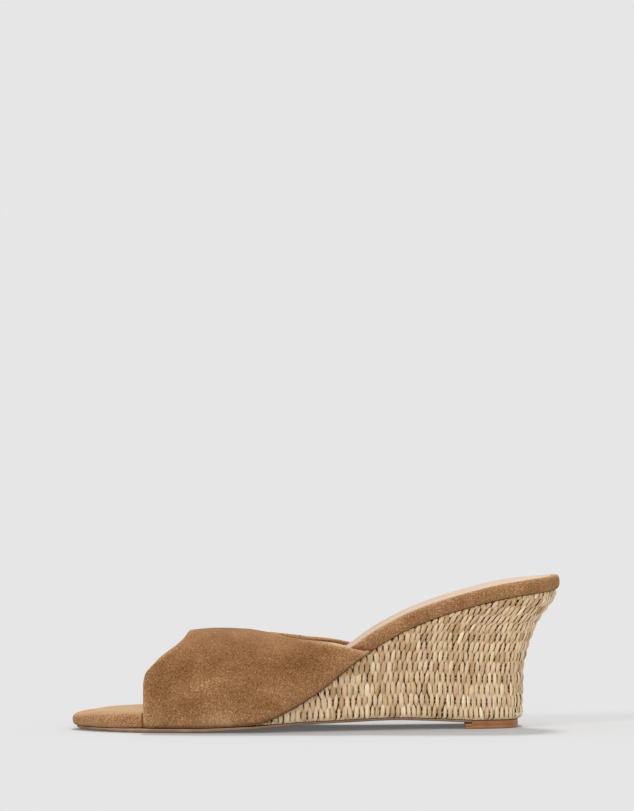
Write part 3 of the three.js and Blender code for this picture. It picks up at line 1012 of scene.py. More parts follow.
# Patches of darker and lighter tone. Depth is the step in tone, and sizes are millimetres.
# Several lie over the folds: these are painted shade in the troughs and painted light on a ridge.
# The others are darker or lighter nap, and the broad patch on top is painted shade that holds
# back the light from above.
PAINTED_SHADING_PATCHES = (
    Fold(Side.OUTER, 44.0, 19.0, 60.0, 8.0, 5.0, -0.20),
    Fold(Side.OUTER, 54.0, 12.0, 15.0, 12.0, 4.0, -0.22),
    Fold(Side.OUTER, 72.0, 6.0, 10.0, 9.0, 4.0, 0.24),
    Fold(Side.OUTER, 60.0, 42.0, -10.0, 18.0, 5.0, 0.10),
    Fold(Side.OUTER, 95.0, 35.0, -30.0, 16.0, 6.0, -0.10),
    Fold(Side.OUTER, 120.0, 31.0, -33.0, 17.0, 8.0, -0.15),
    Fold(Side.INNER, 60.0, 16.0, 20.0, 16.0, 6.0, -0.15),
    Fold(Side.INNER, 88.0, 20.0, -20.0, 12.0, 6.0, 0.14),
    Fold(Side.OUTER, 45.0, 28.0, 75.0, 13.0, 6.0, -0.12),
    Fold(Side.OUTER, 86.0, 16.0, -20.0, 13.0, 3.5, -0.16),
    Fold(Side.OUTER, 70.0, 27.0, 30.0, 14.0, 4.0, 0.12),
    Fold(Side.TOP, 74.0, 0.0, 0.0, 90.0, 60.0, -0.34),
)


@dataclass
class Band:
    """The upper: one suede band over the forefoot, lined with pale leather."""

    last: Last
    wall: float = 1.8
    height: float = 47.6
    ridge_lean: float = 3.0
    side_bulge: float = 1.3
    drawn_in: float = 0.75
    drawn_from: float = 0.6
    drawn_heights: tuple[float, float] = (0.3, 0.7)
    ease: float = 0.5
    fullness: float = 2.7
    set_back: float = 0.007
    crowding: float = 0.6
    edge_roll: float = 0.385
    roll_turns: tuple[float, float] = (30.0, 150.0)
    roll_count: int = 5
    suede_share: float = 0.62
    turned_in: tuple[float, float] = (0.3, 0.9)
    edge_puff: float = 0.42
    topline_puff: float = 0.4
    puff_place: float = 1.9
    puff_width: float = 1.5
    toe_zone: float = 10.0
    fold_fade: float = 6.0
    # Painted highlight on the cut edges and the folded rolls, and the run over which it fades
    edge_highlight: float = 1.5
    roll_highlight: float = 1.8
    highlight_run: float = 1.8
    lining_set_in: float = 0.6
    lining_gap: float = 0.05
    across_count: int = 220
    along_count: int = 76

    def __post_init__(self) -> None:
        """Makes the curves of the ridge and the cut edges."""
        self._ridge = Line(RIDGE["along"], RIDGE["height"])
        self._toe = Line(TOE_EDGE["height"], TOE_EDGE["along"])
        self._outer = Line(TOPLINE["height"], TOPLINE["outer_side"])
        self._inner = Line(TOPLINE["height"], TOPLINE["inner_side"])

    def outside(self, across: Array, t: Array) -> Array:
        """Points of the band's outside, a superellipse section over the last at each place.

        Args:
            across: 0 at the outer side's feather line, 1 at the inner side's.
            t: 0 at the toe edge, 1 at the topline.

        Returns:
            along, y, z in millimetres.
        """
        last = self.last
        height_share = np.sin(np.pi * across) ** (2.0 / self.fullness)
        width_share = np.abs(np.cos(np.pi * across)) ** (2.0 / self.fullness)
        outer = across < 0.5
        toe = last.length * self._toe(height_share)
        topline = last.length * np.where(outer, self._outer(height_share), self._inner(height_share))
        along = toe + t * (topline - toe)
        base = last.footbed_under(along)
        z = base + (self.height * self._ridge(along / last.length) - base) * height_share
        # The foot of the band follows the rounding of the rim's lower half
        tuck = last.rim_inset(along, np.minimum(0.5, (z - base) / last.footbed_rise(along)))
        held_in = smoothstep(t, self.drawn_from, 1.0) * (1.0 - smoothstep(height_share, *self.drawn_heights))
        bulge = self.side_bulge * np.sin(np.pi * height_share) * (1.0 - self.drawn_in * held_in)
        reach = (last.half(along) + self.ease + self.wall - tuck) * width_share + bulge
        y = last.middle(along) + np.where(outer, -reach, reach) + self.ridge_lean * height_share**3
        return np.stack([along, y, z], axis=-1)

    def sheet(self) -> tuple[Array, Array, Array]:
        """The outside as a grid, closer together towards its cut edges, with its directions.

        Returns:
            Points, outward normals and directions towards the topline.
        """
        step = 1e-4
        across = np.clip(np.linspace(0.0, 1.0, self.across_count + 1), step, 1.0 - step)[:, None]
        even = np.linspace(0.0, 1.0, self.along_count + 1)
        spread = (even + self.crowding * smoothstep(even, 0.0, 1.0)) / (1.0 + self.crowding)
        across, t = np.broadcast_arrays(across, self.set_back + (1.0 - 2.0 * self.set_back) * spread)
        points = self.outside(across, t)
        sideways = self.outside(across + step / 2.0, t) - self.outside(across - step / 2.0, t)
        ahead, behind = np.maximum(t - step, 0.0), np.minimum(t + step, 1.0)
        backwards = unit(self.outside(across, behind) - self.outside(across, ahead))
        return points, -unit(np.cross(sideways, backwards)), backwards

    def topline_at(self, points: Array) -> Array:
        """Where the topline lies along the shoe, at the height and on the side of each point.

        Args:
            points: along, y, z in millimetres.

        Returns:
            Distances along the shoe.
        """
        along = points[..., 0]
        base = self.last.footbed_under(along)
        share = (points[..., 2] - base) / (self.height * self._ridge(along / self.last.length) - base)
        outer = points[..., 1] < self.last.middle(along)
        return self.last.length * np.where(outer, self._outer(share), self._inner(share))

    def build(self, suede: bpy.types.Material, lining: bpy.types.Material) -> None:
        """Makes the suede shell with its folded edges and the lining inside it.

        Args:
            suede: finish of the outside.
            lining: finish of the inside.
        """
        points, normals, backwards = self.sheet()
        run = np.cumsum(np.linalg.norm(np.diff(points, axis=1, prepend=points[:, :1]), axis=-1), axis=1)
        edge_distance = np.minimum(run, run[:, -1:] - run)
        relief = sum(fold.relief(points, normals) for fold in FOLDS)
        relief = relief * smoothstep(edge_distance, 0.0, self.fold_fade)
        puff = self.edge_puff * np.where(run < self.toe_zone, np.abs(normals[..., 1]) ** 2, self.topline_puff)
        puff = puff * np.exp(-((edge_distance - self.puff_place) / self.puff_width) ** 2)
        thick = self.wall * (1.0 - (1.0 - self.suede_share) * smoothstep(edge_distance, *self.turned_in))
        outer = points + normals * (relief + puff)[..., None]
        inner = points - normals * thick[..., None]
        middle = points - normals * self.wall / 2.0
        turns = np.radians(np.linspace(*self.roll_turns, self.roll_count))[None, :, None]
        rolls = []
        for edge, way, arc in ((-1, 1.0, turns), (0, -1.0, turns[:, ::-1])):
            reach = backwards[:, edge, None] * way * self.edge_roll * self.wall
            rise = normals[:, edge, None] * self.wall / 2.0
            rolls.append(middle[:, edge, None] + reach * np.sin(arc) + rise * np.cos(arc))
        flat = around(middle, middle[:, [-1] * self.roll_count], middle, middle[:, [0] * self.roll_count])
        loop = capped(around(outer, rolls[0], inner, rolls[1]), flat)
        # Painted shade and painted light of the patches, carried in the attribute tone
        tone = sum(patch.relief(points, normals) for patch in PAINTED_SHADING_PATCHES)
        plain = np.zeros((len(points), self.roll_count))
        tones = around(tone, plain, np.zeros(tone.shape), plain)
        # Painted highlight: lighter suede near the cut edges and on the folded rolls, as if they caught the
        # light
        edge_highlights = self.edge_highlight * np.exp(-edge_distance / self.highlight_run)
        painted_highlights = around(edge_highlights, plain + self.roll_highlight, edge_highlights, plain + self.roll_highlight)
        piece = make_piece("suede_band", self.last.place(loop), tube_faces(1, *loop.shape[:2]), suede,
                           {"tone": capped(tones, tones), "rim": capped(painted_highlights, painted_highlights)})
        hang(piece, "suede", "upper")
        self.build_lining(lining, points, normals, edge_distance)

    def build_lining(self, lining: bpy.types.Material, points: Array, normals: Array,
                     edge_distance: Array) -> None:
        """Makes the lining: a thin sheet inside the suede, cut back from the folded edges.

        Args:
            lining: its finish.
            points: the band's outside.
            normals: outward directions there.
            edge_distance: distance to the nearer cut edge.
        """
        start = int(np.argmax(edge_distance[self.across_count // 2] > self.lining_set_in))
        keep = slice(start, -start)
        outer = (points - normals * (self.wall * self.suede_share + self.lining_gap))[:, keep]
        inner = (points - normals * (self.wall + self.lining_gap))[:, keep]
        middle = (outer + inner) / 2.0
        toe, throat = middle[:, :1], middle[:, -1:]
        loop = capped(around(outer, throat, inner, toe), around(middle, throat, middle, toe))
        piece = make_piece("band_lining", self.last.place(loop), tube_faces(1, *loop.shape[:2]), lining,
                           {"front_darkening": np.zeros(loop.shape[:2])})
        hang(piece, "sock_leather")


@dataclass
class Footbed:
    """The padded footbed in its suede wrap, and the leather sock on it."""

    last: Last
    sock_lift: float = 0.7
    sock_sunk: float = 0.04
    sock_set_in: float = 1.9
    toe_set_in: float = 4.2
    toe_run: float = 16.0
    heel_set_in: float = 1.8
    heel_start: float = 205.0
    skive: float = 1.2
    front_darkening: tuple[float, float] = (30.0, 110.0)
    # Painted shade in the joints beside the band's front edge and topline: strength, place and width
    front_painted_shade: float = 0.8
    front_shade_at: float = 35.2
    front_shade_width: float = 0.55
    rear_painted_shade: float = 0.75
    rear_shade_behind: float = 0.5
    rear_shade_width: float = 0.8
    toe_tone: float = 0.15
    toe_tone_run: tuple[float, float] = (26.0, 60.0)
    heel_tone: float = -0.04
    heel_tone_run: tuple[float, float] = (190.0, 228.0)
    # Where the painted highlight on the rim begins, as a share of its height
    highlight_from: float = 0.62
    rim_levels: int = 18
    dish_levels: int = 8
    station_count: int = 460

    def edge(self) -> Array:
        """The footbed's outline, as a ring of along, y."""
        alongs = stations(0.0, self.last.length, self.station_count, True, True)
        return outline(alongs, self.last.middle(alongs), self.last.half(alongs))

    def build_wrap(self, suede: bpy.types.Material, band: Band) -> None:
        """Makes the suede wrap: an elliptically rounded rim, then a dished top.

        Args:
            suede: its finish.
            band: the band, along whose front edge and topline the rim gets a line of painted shade.
        """
        last = self.last
        ring = self.edge()
        along = ring[:, 0]
        rings = []
        shares = (1.0 - np.cos(np.pi * np.linspace(0.0, 1.0, self.rim_levels + 1)[:-1])) / 2.0
        for share in shares:
            moved = inset_ring(ring, last.rim_inset(along, np.full_like(along, share)))
            height = last.footbed_under(moved[:, 0]) + share * last.footbed_rise(moved[:, 0])
            rings.append(np.column_stack([moved, height]))
        crown = last.rim_inset(along, np.ones_like(along))
        least = float(last.rim_inset(np.array(0.5 * last.length), np.array(1.0)))
        for step in np.linspace(0.0, 1.0, self.dish_levels + 1)[1:]:
            distance = crown * (1.0 - step) + step * last.dish_run
            moved = inset_ring(ring, np.maximum(distance, least * step))
            rings.append(np.column_stack([moved, last.footbed_top(moved[:, 0], distance)]))
        points = np.stack(rings)
        place = points[..., 0]
        # Painted highlight: the upper rim and the whole top are lightened, as light from above would
        highlight = smoothstep(np.concatenate([shares, np.ones(self.dish_levels)]), self.highlight_from, 1.0)
        tone = (self.toe_tone * (1.0 - smoothstep(place, *self.toe_tone_run))
                + self.heel_tone * smoothstep(place, *self.heel_tone_run))
        # Painted shade: a dark line on the wrap just before the band's front edge and just behind its
        # topline, where the joint lies in shade
        front = (place - self.front_shade_at) / self.front_shade_width
        rear = (place - band.topline_at(points) - self.rear_shade_behind) / self.rear_shade_width
        on_rim = 1.0 - smoothstep(np.arange(len(points)), self.rim_levels - 1.0, self.rim_levels + 2.0)
        painted_shade = (self.front_painted_shade * np.exp(-(front**2))
                   + self.rear_painted_shade * np.exp(-(rear**2)) * on_rim[:, None])
        piece = make_piece("footbed_wrap", last.place(points), ring_faces(*place.shape), suede,
                           {"tone": tone - painted_shade, "rim": np.broadcast_to(highlight[:, None], place.shape)})
        hang(piece, "suede", "footbed")

    def build_sock(self, leather: bpy.types.Material) -> None:
        """Makes the sock: a thin sheet over the dished top, skived so that its edge lies flush.

        Its lift over the wrap rises by a smooth step from nothing at the edge to the whole
        lift one skive's width further in. Its underside is sunk into the wrap.

        Args:
            leather: its finish.
        """
        last = self.last
        ring = self.edge()
        start = (self.sock_set_in + self.toe_set_in * (1.0 - smoothstep(ring[:, 0], 0.0, self.toe_run))
                 + self.heel_set_in * smoothstep(ring[:, 0], self.heel_start, last.length))
        # Shares of the way from the sock's edge to the flat of the dish, close together at the edge
        shares = np.concatenate([np.linspace(0.0, 0.24, 9), [0.4, 0.6, 0.8, 1.0]])
        rings = []
        below, above = shares[::-4], shares
        lifts = np.concatenate([np.zeros(len(below)), np.full(len(above), self.sock_lift)])
        for share, lift in zip(np.concatenate([below, above]), lifts):
            inset = start + share * (last.dish_run - start)
            moved = inset_ring(ring, inset)
            rise = lift * smoothstep(inset - start, 0.0, self.skive) - self.sock_sunk
            rings.append(np.column_stack([moved, last.wrap_height(moved[:, 0], inset) + rise]))
        points = np.stack(rings)
        # Darker towards the toe: front_darkening fades from 1 to 0 over the given span
        front_darkening = 1.0 - smoothstep(points[..., 0], *self.front_darkening)
        piece = make_piece("leather_sock", last.place(points), ring_faces(*front_darkening.shape), leather,
                           {"front_darkening": front_darkening})
        hang(piece, "sock_leather", "insole_sock")


@dataclass
class Wedge:
    """The wedge heel under its cover of woven raffia."""

    last: Last
    front_gap: float = 8.4
    pitch: float = 2.75
    row_pitch: float = 5.6
    extra_rows: float = 2.1
    lean: float = 3.4
    lean_heights: tuple[float, float] = (39.0, 67.0)
    lean_run: float = 26.0
    front_run: tuple[float, float] = (55.0, 110.0)
    front_loss: float = 0.8
    core_depth: float = 0.75
    cord_radius: float = 0.5
    cord_depth: float = 0.42
    cord_room: float = 0.3
    fibre_radius: float = 0.21
    fibre_tones: tuple[float, float] = (0.7, 1.2)
    leaf_reach: float = 0.84
    leaf_width: float = 0.87
    leaf_taper: float = 3.0
    leaf_tip: float = 0.3
    leaf_depth: float = 0.45
    leaf_arch: float = 0.95
    dome: float = 0.44
    belly: float = 0.25
    fold_depth: float = 0.60
    fold_width: float = 0.25
    tuck_depth: float = 0.35
    tuck_rows: float = 0.3
    tuck_share: float = 0.4
    foot_rows: tuple[float, float] = (-0.05, 0.15)
    valley_level: float = 0.14
    valley_shade: float = 0.80
    side_shade: float = 0.38
    # Where on a strip its painted highlight lies, and how wide it is
    highlight_side: float = -0.6
    highlight_width: float = 0.24
    tone_lift: float = 0.08
    tone_fall: float = 0.21
    # What differs from stitch to stitch, as the spread of a bell, as its middle and its spread,
    # or as the least and the most
    place_spread: float = 0.13
    row_spread: float = 0.05
    tilt_spread: float = 0.26
    foot_tilt: float = 0.5
    width_spread: float = 0.11
    reach_spread: float = 0.09
    fullnesses: tuple[float, float] = (0.75, 1.25)
    creases: tuple[float, float] = (-0.7, 0.7)
    tones: tuple[float, float] = (0.34, 0.21)
    hues: tuple[float, float] = (0.0, 0.25)
    highlights: tuple[float, float] = (0.1, 0.4)
    pattern_step: float = 17.0
    path_count: int = 500
    seed: int = 7

    def __post_init__(self) -> None:
        """Works out the cover's path round the wedge, from the outer front to the inner front."""
        last = self.last
        alongs = stations(last.wedge_start + self.front_gap, last.length, self.path_count, False, True)
        ring = outline(alongs, last.middle(alongs), last.half(alongs))
        top = inset_ring(ring, np.full(len(ring), last.cover_set_in), cut_front=True)
        top = np.delete(top, len(alongs), axis=0)
        middle = last.middle(top[:, 0])
        foot = np.column_stack([last.foot_along(top[:, 0]),
                                middle + (top[:, 1] - middle) * last.foot_widening(top[:, 0])])
        steps = [np.linalg.norm(np.diff(line, axis=0), axis=-1) for line in (top, foot)]
        self.path = np.concatenate([[0.0], np.cumsum((steps[0] + steps[1]) / 2.0)])
        self.top, self.foot = top, foot
        self.under = last.wedge_under(foot[:, 0])
        self.tall = last.wedge_top(top[:, 0]) - self.under
        self.total = float(self.path[-1])
        self.back = float(self.path[len(alongs) - 1])
        self.tallest = float(self.tall.max())

    def at(self, q: Array, values: Array) -> Array:
        """Values given along the path, at distances q round the wedge."""
        return np.interp(q, self.path, values)

    def surface(self, q: Array, share: Array) -> Array:
        """Points of the cover: from foot to seat along straight lines, bent out by the flare.

        Args:
            q: distance round the wedge.
            share: height as a share of the wedge's height there.

        Returns:
            along, y, z in millimetres.
        """
        out = self.last.flare(share)
        flat = [self.at(q, self.foot[:, k]) * (1.0 - out) + self.at(q, self.top[:, k]) * out for k in (0, 1)]
        z = self.at(q, self.under) + share * self.at(q, self.tall)
        return np.stack([*flat, z], axis=-1)

    def normal(self, q: Array, share: Array) -> Array:
        """Outward directions of the cover.

        Args:
            q: distance round the wedge.
            share: height share.

        Returns:
            Unit vectors square to the surface.
        """
        round_step, up_step = 0.6, 0.01
        round_way = self.surface(q + round_step, share) - self.surface(q - round_step, share)
        low, high = np.maximum(share - up_step, 0.0), np.minimum(share + up_step, 1.0)
        return unit(np.cross(round_way, self.surface(q, high) - self.surface(q, low)))

    def row_terms(self, q: Array) -> tuple[Array, Array]:
        """How many rows fit at a place at the lowest row's pitch, and how many more do.

        The first is height over pitch, and the second grows with the square of the height.

        Args:
            q: distance round the wedge.

        Returns:
            The two numbers of rows.
        """
        tall = self.at(q, self.tall)
        return tall / self.row_pitch, self.extra_rows * (tall / self.tallest) ** 2

    def rows_at(self, q: Array) -> Array:
        """How many rows fit at a place."""
        return sum(self.row_terms(q))

    def share_of_row(self, row: Array, q: Array) -> Array:
        """Height share of a row of stitches; rows lie closer together towards the heel seat.

        The row's number is the plain term times the share and the extra term times its cube,
        and four steps of Newton's rule turn that round.

        Args:
            row: row numbers from the bottom.
            q: distance round the wedge.

        Returns:
            Height shares.
        """
        plain, extra = self.row_terms(q)
        share = np.clip(row / (plain + extra), 0.0, 1.0)
        for _ in range(4):
            share = share - (plain * share + extra * share**3 - row) / (plain + 3.0 * extra * share**2)
        return np.clip(share, 0.0, 1.0)

    def leaned(self, q: Array, share: Array) -> Array:
        """Shifts the strands towards the heel as they climb the upper half, most at the seat's sides.

        The shift is the lean times three smooth steps: one of the height, one that fades it
        towards the middle of the back, and one that fades it towards the front.

        Args:
            q: distance round the wedge at the foot.
            share: height share.

        Returns:
            Distances round the wedge.
        """
        from_back = np.abs(self.back - q)
        spread = smoothstep(from_back, 0.0, self.lean_run)
        spread = spread * (1.0 - self.front_loss * smoothstep(from_back, *self.front_run))
        height = share * self.at(q, self.tall)
        return q + np.sign(self.back - q) * self.lean * spread * smoothstep(height, *self.lean_heights)

    def build_core(self, backing: bpy.types.Material) -> None:
        """Makes the backing that shows in the gaps between the stitches, coloured dark as painted shade.

        It is the cover's surface moved in by the core's depth, and held over the outsole.

        Args:
            backing: its finish.
        """
        half_count, level_count, least_gap = 150, 40, 0.05
        q = np.concatenate([np.linspace(0.0, self.back, half_count),
                            np.linspace(self.back, self.total, half_count)])
        share = np.linspace(0.0, 1.0, level_count)[:, None]
        points = self.surface(q, share) - self.normal(q, share) * self.core_depth
        points[..., 2] = np.maximum(points[..., 2], self.at(q, self.under) + least_gap)
        piece = make_piece("wedge_backing", self.last.place(points), ring_faces(*points.shape[:2]), backing)
        hang(piece, "raffia")

    def build_cords(self, raffia: bpy.types.Material) -> None:
        """Makes the warp cords on which the stitches are woven, one at the middle of each row.

        Each is a tube along a line of constant row number that shrinks to a point at its ends,
        and it runs where there is room for it under the wedge's top.

        Args:
            raffia: its finish.
        """
        # The cords get half the painted valley shade, as they lie down in the gaps
        place_count, ring_count, sides, top_room, bluntness, tone, dip = 2000, 240, 6, 0.6, 20, 0.3, 0.5
        places = np.linspace(0.0, self.total, place_count)
        limit = self.rows_at(places)
        rows = np.arange(int(limit.max() - top_room) + 1) + 0.5
        fits = limit > rows[:, None] + self.cord_room
        first, last = places[fits.argmax(axis=1)], places[fits.shape[1] - 1 - fits[:, ::-1].argmax(axis=1)]
        t = np.linspace(0.0, 1.0, ring_count)
        q = (first[:, None] + (last - first)[:, None] * t)[..., None]
        turns = np.radians(np.arange(0.0, 360.0, 360.0 / sides))
        radius = (self.cord_radius * np.sqrt(1.0 - (2.0 * t - 1.0) ** bluntness))[None, :, None]
        number = rows[:, None, None] + radius * np.cos(turns) / self.row_pitch
        q = np.broadcast_to(q, number.shape)
        share = self.share_of_row(number, q)
        out = radius * np.sin(turns) - self.cord_depth
        points = self.surface(q, share) + self.normal(q, share) * out[..., None]
        uv = np.stack([np.broadcast_to(radius * turns, q.shape), q], axis=-1)
        flat = np.zeros(q.shape)
        piece = make_piece("warp_cords", self.last.place(points), tube_faces(*q.shape), raffia,
                           {"tone": flat + tone, "hue": flat, "dip": flat + dip}, uv)
        hang(piece, "raffia")

    def build_frayed_end(self, raffia: bpy.types.Material) -> None:
        """Makes the frayed end of a strip at the outer side's lower back corner: a few loose fibres.

        A fibre is a tube along a parabola that bends down and away, thinner towards its tip.

        Args:
            raffia: its finish.
        """
        rng = np.random.default_rng(self.seed + 1)
        size, steps, sides, bluntness, uv_run = 16, 9, 5, 6, 5.0
        from_corner, spread, height_share, off_cover, droop = 2.4, 1.4, 0.045, 0.8, 1.2
        t, share = np.linspace(0.0, 1.0, steps), np.full(size, height_share)
        # How far a fibre's tip lies from its root at the least and the most: along, y and z
        reaches = ((-2.2, 2.2), (-1.6, -0.5), (-1.0, 1.6))
        outer = self.path <= self.back
        corner = np.interp(self.foot[:, 0].max() - from_corner, self.foot[outer, 0], self.path[outer])
        q = float(corner) + rng.uniform(-spread, spread, size)
        start = self.surface(q, share) + self.normal(q, share) * off_cover
        reach = np.stack([rng.uniform(low, high, size) for low, high in reaches], axis=-1)
        line = start[:, None] + reach[:, None] * t[:, None]
        line[..., 2] -= droop * t**2
        way = unit(np.gradient(line, axis=1))
        side = unit(np.cross(way, [0.0, 0.0, 1.0]))
        turns = np.radians(np.arange(0.0, 360.0, 360.0 / sides))
        radius = (self.fibre_radius * np.sqrt(1.0 - t**bluntness) * (t > 0.0))[None, :, None, None]
        ring = (side[:, :, None] * np.cos(turns)[:, None]
                + np.cross(way, side)[:, :, None] * np.sin(turns)[:, None])
        points = line[:, :, None] + radius * ring
        flat = np.zeros(points.shape[:3])
        uv = np.stack([flat + turns * self.fibre_radius, flat + uv_run * t[:, None]], axis=-1)
        tone = flat + rng.uniform(*self.fibre_tones, size)[:, None, None]
        piece = make_piece("frayed_end", self.last.place(points), tube_faces(*flat.shape), raffia,
                           {"tone": tone, "hue": flat, "dip": flat}, uv)
        hang(piece, "raffia")

    def build_cover(self, raffia: bpy.types.Material) -> None:
        """Makes the woven cover: leaf-shaped stitches in staggered rows, joined in one mesh.

        A stitch is a closed leaf. Its width falls off as a power of the way from its middle to
        its tips, which dip under the neighbouring rows, and its section is a low dome with a
        fold. Leaves that reach past the wedge's top or foot are cut off there and tucked in.

        Args:
            raffia: its finish.
        """
        rng = np.random.default_rng(self.seed)
        count = int(round(self.total / self.pitch))
        pitch = self.total / count
        row_count = int(self.rows_at(np.array(self.back))) + 2
        number, row = np.meshgrid(np.arange(count), np.arange(-1, row_count), indexing="ij")
        number, row = number.ravel(), row.ravel()
        q = (number + 0.25 + 0.5 * (row % 2)) * pitch
        centre = row + 0.5
        keep = centre - self.leaf_reach < self.rows_at(q) - 0.1
        q, centre, row = q[keep], centre[keep], row[keep]
        size = len(q)
        q = q + rng.normal(0.0, self.place_spread, size)
        centre = centre + rng.normal(0.0, self.row_spread, size)
        tilt = rng.normal(0.0, self.tilt_spread, size) + np.where(row < 0, self.foot_tilt, 0.0)
        width = self.leaf_width * rng.normal(1.0, self.width_spread, size)
        reach = self.leaf_reach * rng.normal(1.0, self.reach_spread, size)
        fullness, crease = rng.uniform(*self.fullnesses, size), rng.uniform(*self.creases, size)
        tone, hue, highlight = (np.clip(rng.normal(*spread, size), 0.0, most)[:, None, None] for spread, most
                            in ((self.tones, 0.9), (self.hues, 0.7), (self.highlights, 0.9)))
        # Places round the leaf's section, six on its dome and two under it, and along the leaf
        turns = np.radians(np.array([0.0, 38.0, 74.0, 106.0, 142.0, 180.0, 235.0, 305.0]))
        steps = np.array([-1.0, -0.90, -0.74, -0.42, 0.0, 0.42, 0.74, 0.90, 1.0])
        rises = reach[:, None] * steps
        rows = centre[:, None] + rises
        taper = 1.0 - np.abs(steps) ** self.leaf_taper
        half_width = (0.5 * pitch * width[:, None] * taper)[:, :, None]
        start = np.repeat(q[:, None], len(steps), axis=1)
        line = self.leaned(start, self.share_of_row(rows, start)) + tilt[:, None] * rises
        lift = self.leaf_arch * fullness[:, None] * np.cos(np.pi * np.abs(steps) / 2.0) - self.leaf_depth
        side = np.cos(turns)
        up = np.sin(turns) * np.where(np.sin(turns) > 0, self.dome, self.belly)
        in_fold = np.exp(-((side - crease[:, None]) / self.fold_width) ** 2) * (up > 0)
        section = up * (1.0 - self.fold_depth * in_fold)
        across = np.clip(line[:, :, None] + half_width * side, 0.0, self.total)
        number = np.broadcast_to(rows[:, :, None], across.shape)
        shares = self.share_of_row(number, across)
        room = self.rows_at(across)
        tuck_run = np.minimum(self.tuck_rows, self.tuck_share * room)
        tucked = np.minimum(smoothstep(room - number, 0.0, tuck_run), smoothstep(number, *self.foot_rows))
        bulk = self.leaf_tip + (1.0 - self.leaf_tip) * taper
        out = lift[:, :, None] + section[:, None, :] * bulk[:, None]
        # Painted shade: dip darkens a leaf where it sinks below the valley level and towards its sides
        dip = (np.clip(self.valley_level - out, 0.0, self.valley_shade)
               + self.side_shade * np.abs(side) ** 4)
        out = out * tucked - self.tuck_depth * (1.0 - tucked)
        points = self.surface(across, shares) + self.normal(across, shares) * out[..., None]
        # Each stitch takes its fibres from a place of its own in the pattern
        uv = np.stack([half_width * side + self.pattern_step * np.arange(size)[:, None, None],
                       number * self.row_pitch], axis=-1)
        # Painted highlight: a bright streak down one side of each strip
        painted_highlight = highlight * np.exp(-((side - self.highlight_side) / self.highlight_width) ** 2)
        floats = {"tone": tone + painted_highlight + self.tone_lift - self.tone_fall * shares,
                  "hue": np.broadcast_to(hue, across.shape), "dip": np.clip(dip, 0.0, 0.9)}
        piece = make_piece("raffia_cover", self.last.place(points), tube_faces(*across.shape), raffia,
                           floats, uv)
        hang(piece, "raffia", "wedge")
        LOG.info("raffia_cover: %d stitches", size)


@dataclass
class SoleUnit:
    """The thin outsole and the heel tip in which it ends."""

    last: Last
    lip_from: float = 0.68
    level_from: float = 0.9
    sole_count: int = 150
    rebate_count: int = 8
    tip_count: int = 70
    step_half: float = 0.01
    # Height share of an edge and how far it lies in from the widest line, in millimetres
    sole_edge: tuple[tuple[float, float], ...] = (
        (0.0, 1.8), (0.03, 1.1), (0.10, 0.5), (0.20, 0.15), (0.32, 0.0), (0.58, 0.0), (0.66, 0.22),
        (0.72, 0.04), (0.80, 0.0), (0.92, 0.06), (1.0, 0.30))
    tip_edge: tuple[tuple[float, float], ...] = (
        (0.0, 0.35), (0.05, 0.10), (0.12, 0.0), (0.34, 0.0), (0.38, 0.12), (0.42, 0.0), (0.9, 0.0),
        (0.97, 0.08), (1.0, 0.25))

    def build_sole(self, sheet: bpy.types.Material, lip: bpy.types.Material,
                   tread: bpy.types.Material) -> None:
        """Makes the outsole, with a light lip along its top edge over a darker body.

        The profile of its edge is carried round its outline.

        Args:
            sheet: finish of the edge.
            lip: finish of the lip.
            tread: finish of the underside.
        """
        last = self.last
        alongs = stations(0.0, last.sole_end, self.sole_count, True, False)
        ring = outline(alongs, last.middle(alongs), last.foot_half(alongs))
        inset = last.sole_inset(ring[:, 0])
        rings = []
        for share, extra in self.sole_edge:
            moved = inset_ring(ring, inset + extra, cut_back=True)
            height = last.sole_under(moved[:, 0]) + share * last.sole_thickness(moved[:, 0])
            rings.append(np.column_stack([moved, height]))
        points = np.stack(rings)
        piece = make_piece("sole_unit", last.place(points), ring_faces(*points.shape[:2]), sheet)
        piece.data.materials.append(lip)
        piece.data.materials.append(tread)
        self.share_out(piece)
        hang(piece, "outsole", "outsole")

    def share_out(self, piece: bpy.types.Object) -> None:
        """Gives the faces over the groove the lip's finish, and the underside the tread's.

        Args:
            piece: the outsole.
        """
        mesh = piece.data
        centres, normals = (np.empty(3 * len(mesh.polygons), np.float32) for _ in range(2))
        mesh.polygons.foreach_get("center", centres)
        mesh.polygons.foreach_get("normal", normals)
        centres, upwards = centres.reshape(-1, 3) / MM, normals.reshape(-1, 3)[:, 2]
        along = centres[:, 0] + self.last.length / 2.0
        share = (centres[:, 2] - self.last.sole_under(along)) / self.last.sole_thickness(along)
        on_lip = (share > self.lip_from) & (np.abs(upwards) < self.level_from)
        finish = np.where(on_lip, 1, np.where(upwards < -self.level_from, 2, 0))
        mesh.polygons.foreach_set("material_index", finish.astype(np.int32))

    def build_tip(self, rubber: bpy.types.Material) -> None:
        """Makes the heel tip: a D-shaped block with eased edges and a step for the outsole's end.

        Args:
            rubber: its finish.
        """
        last = self.last
        step_at = last.sole_end + last.seam
        alongs = np.concatenate([
            np.linspace(last.tip_front, step_at - self.step_half, self.rebate_count),
            stations(step_at + self.step_half, last.foot_end, self.tip_count, False, True)])
        ring = outline(alongs, last.middle(alongs), last.foot_half(alongs))
        inset = last.sole_inset(ring[:, 0])
        rebate = float(last.sole_under(np.array([last.tip_front, last.sole_end])).min()) - last.seam
        top = np.where(ring[:, 0] < step_at, rebate, last.tip_height)
        rings = []
        for share, extra in self.tip_edge:
            moved = inset_ring(ring, inset + extra, cut_front=True)
            moved[:, 0] = np.maximum(moved[:, 0], last.tip_front + extra * 0.5)
            rings.append(np.column_stack([moved, share * top]))
        points = np.stack(rings)
        piece = make_piece("heel_top_piece", last.place(points), ring_faces(*points.shape[:2]), rubber)
        hang(piece, "heel_tip", "heel_tip")


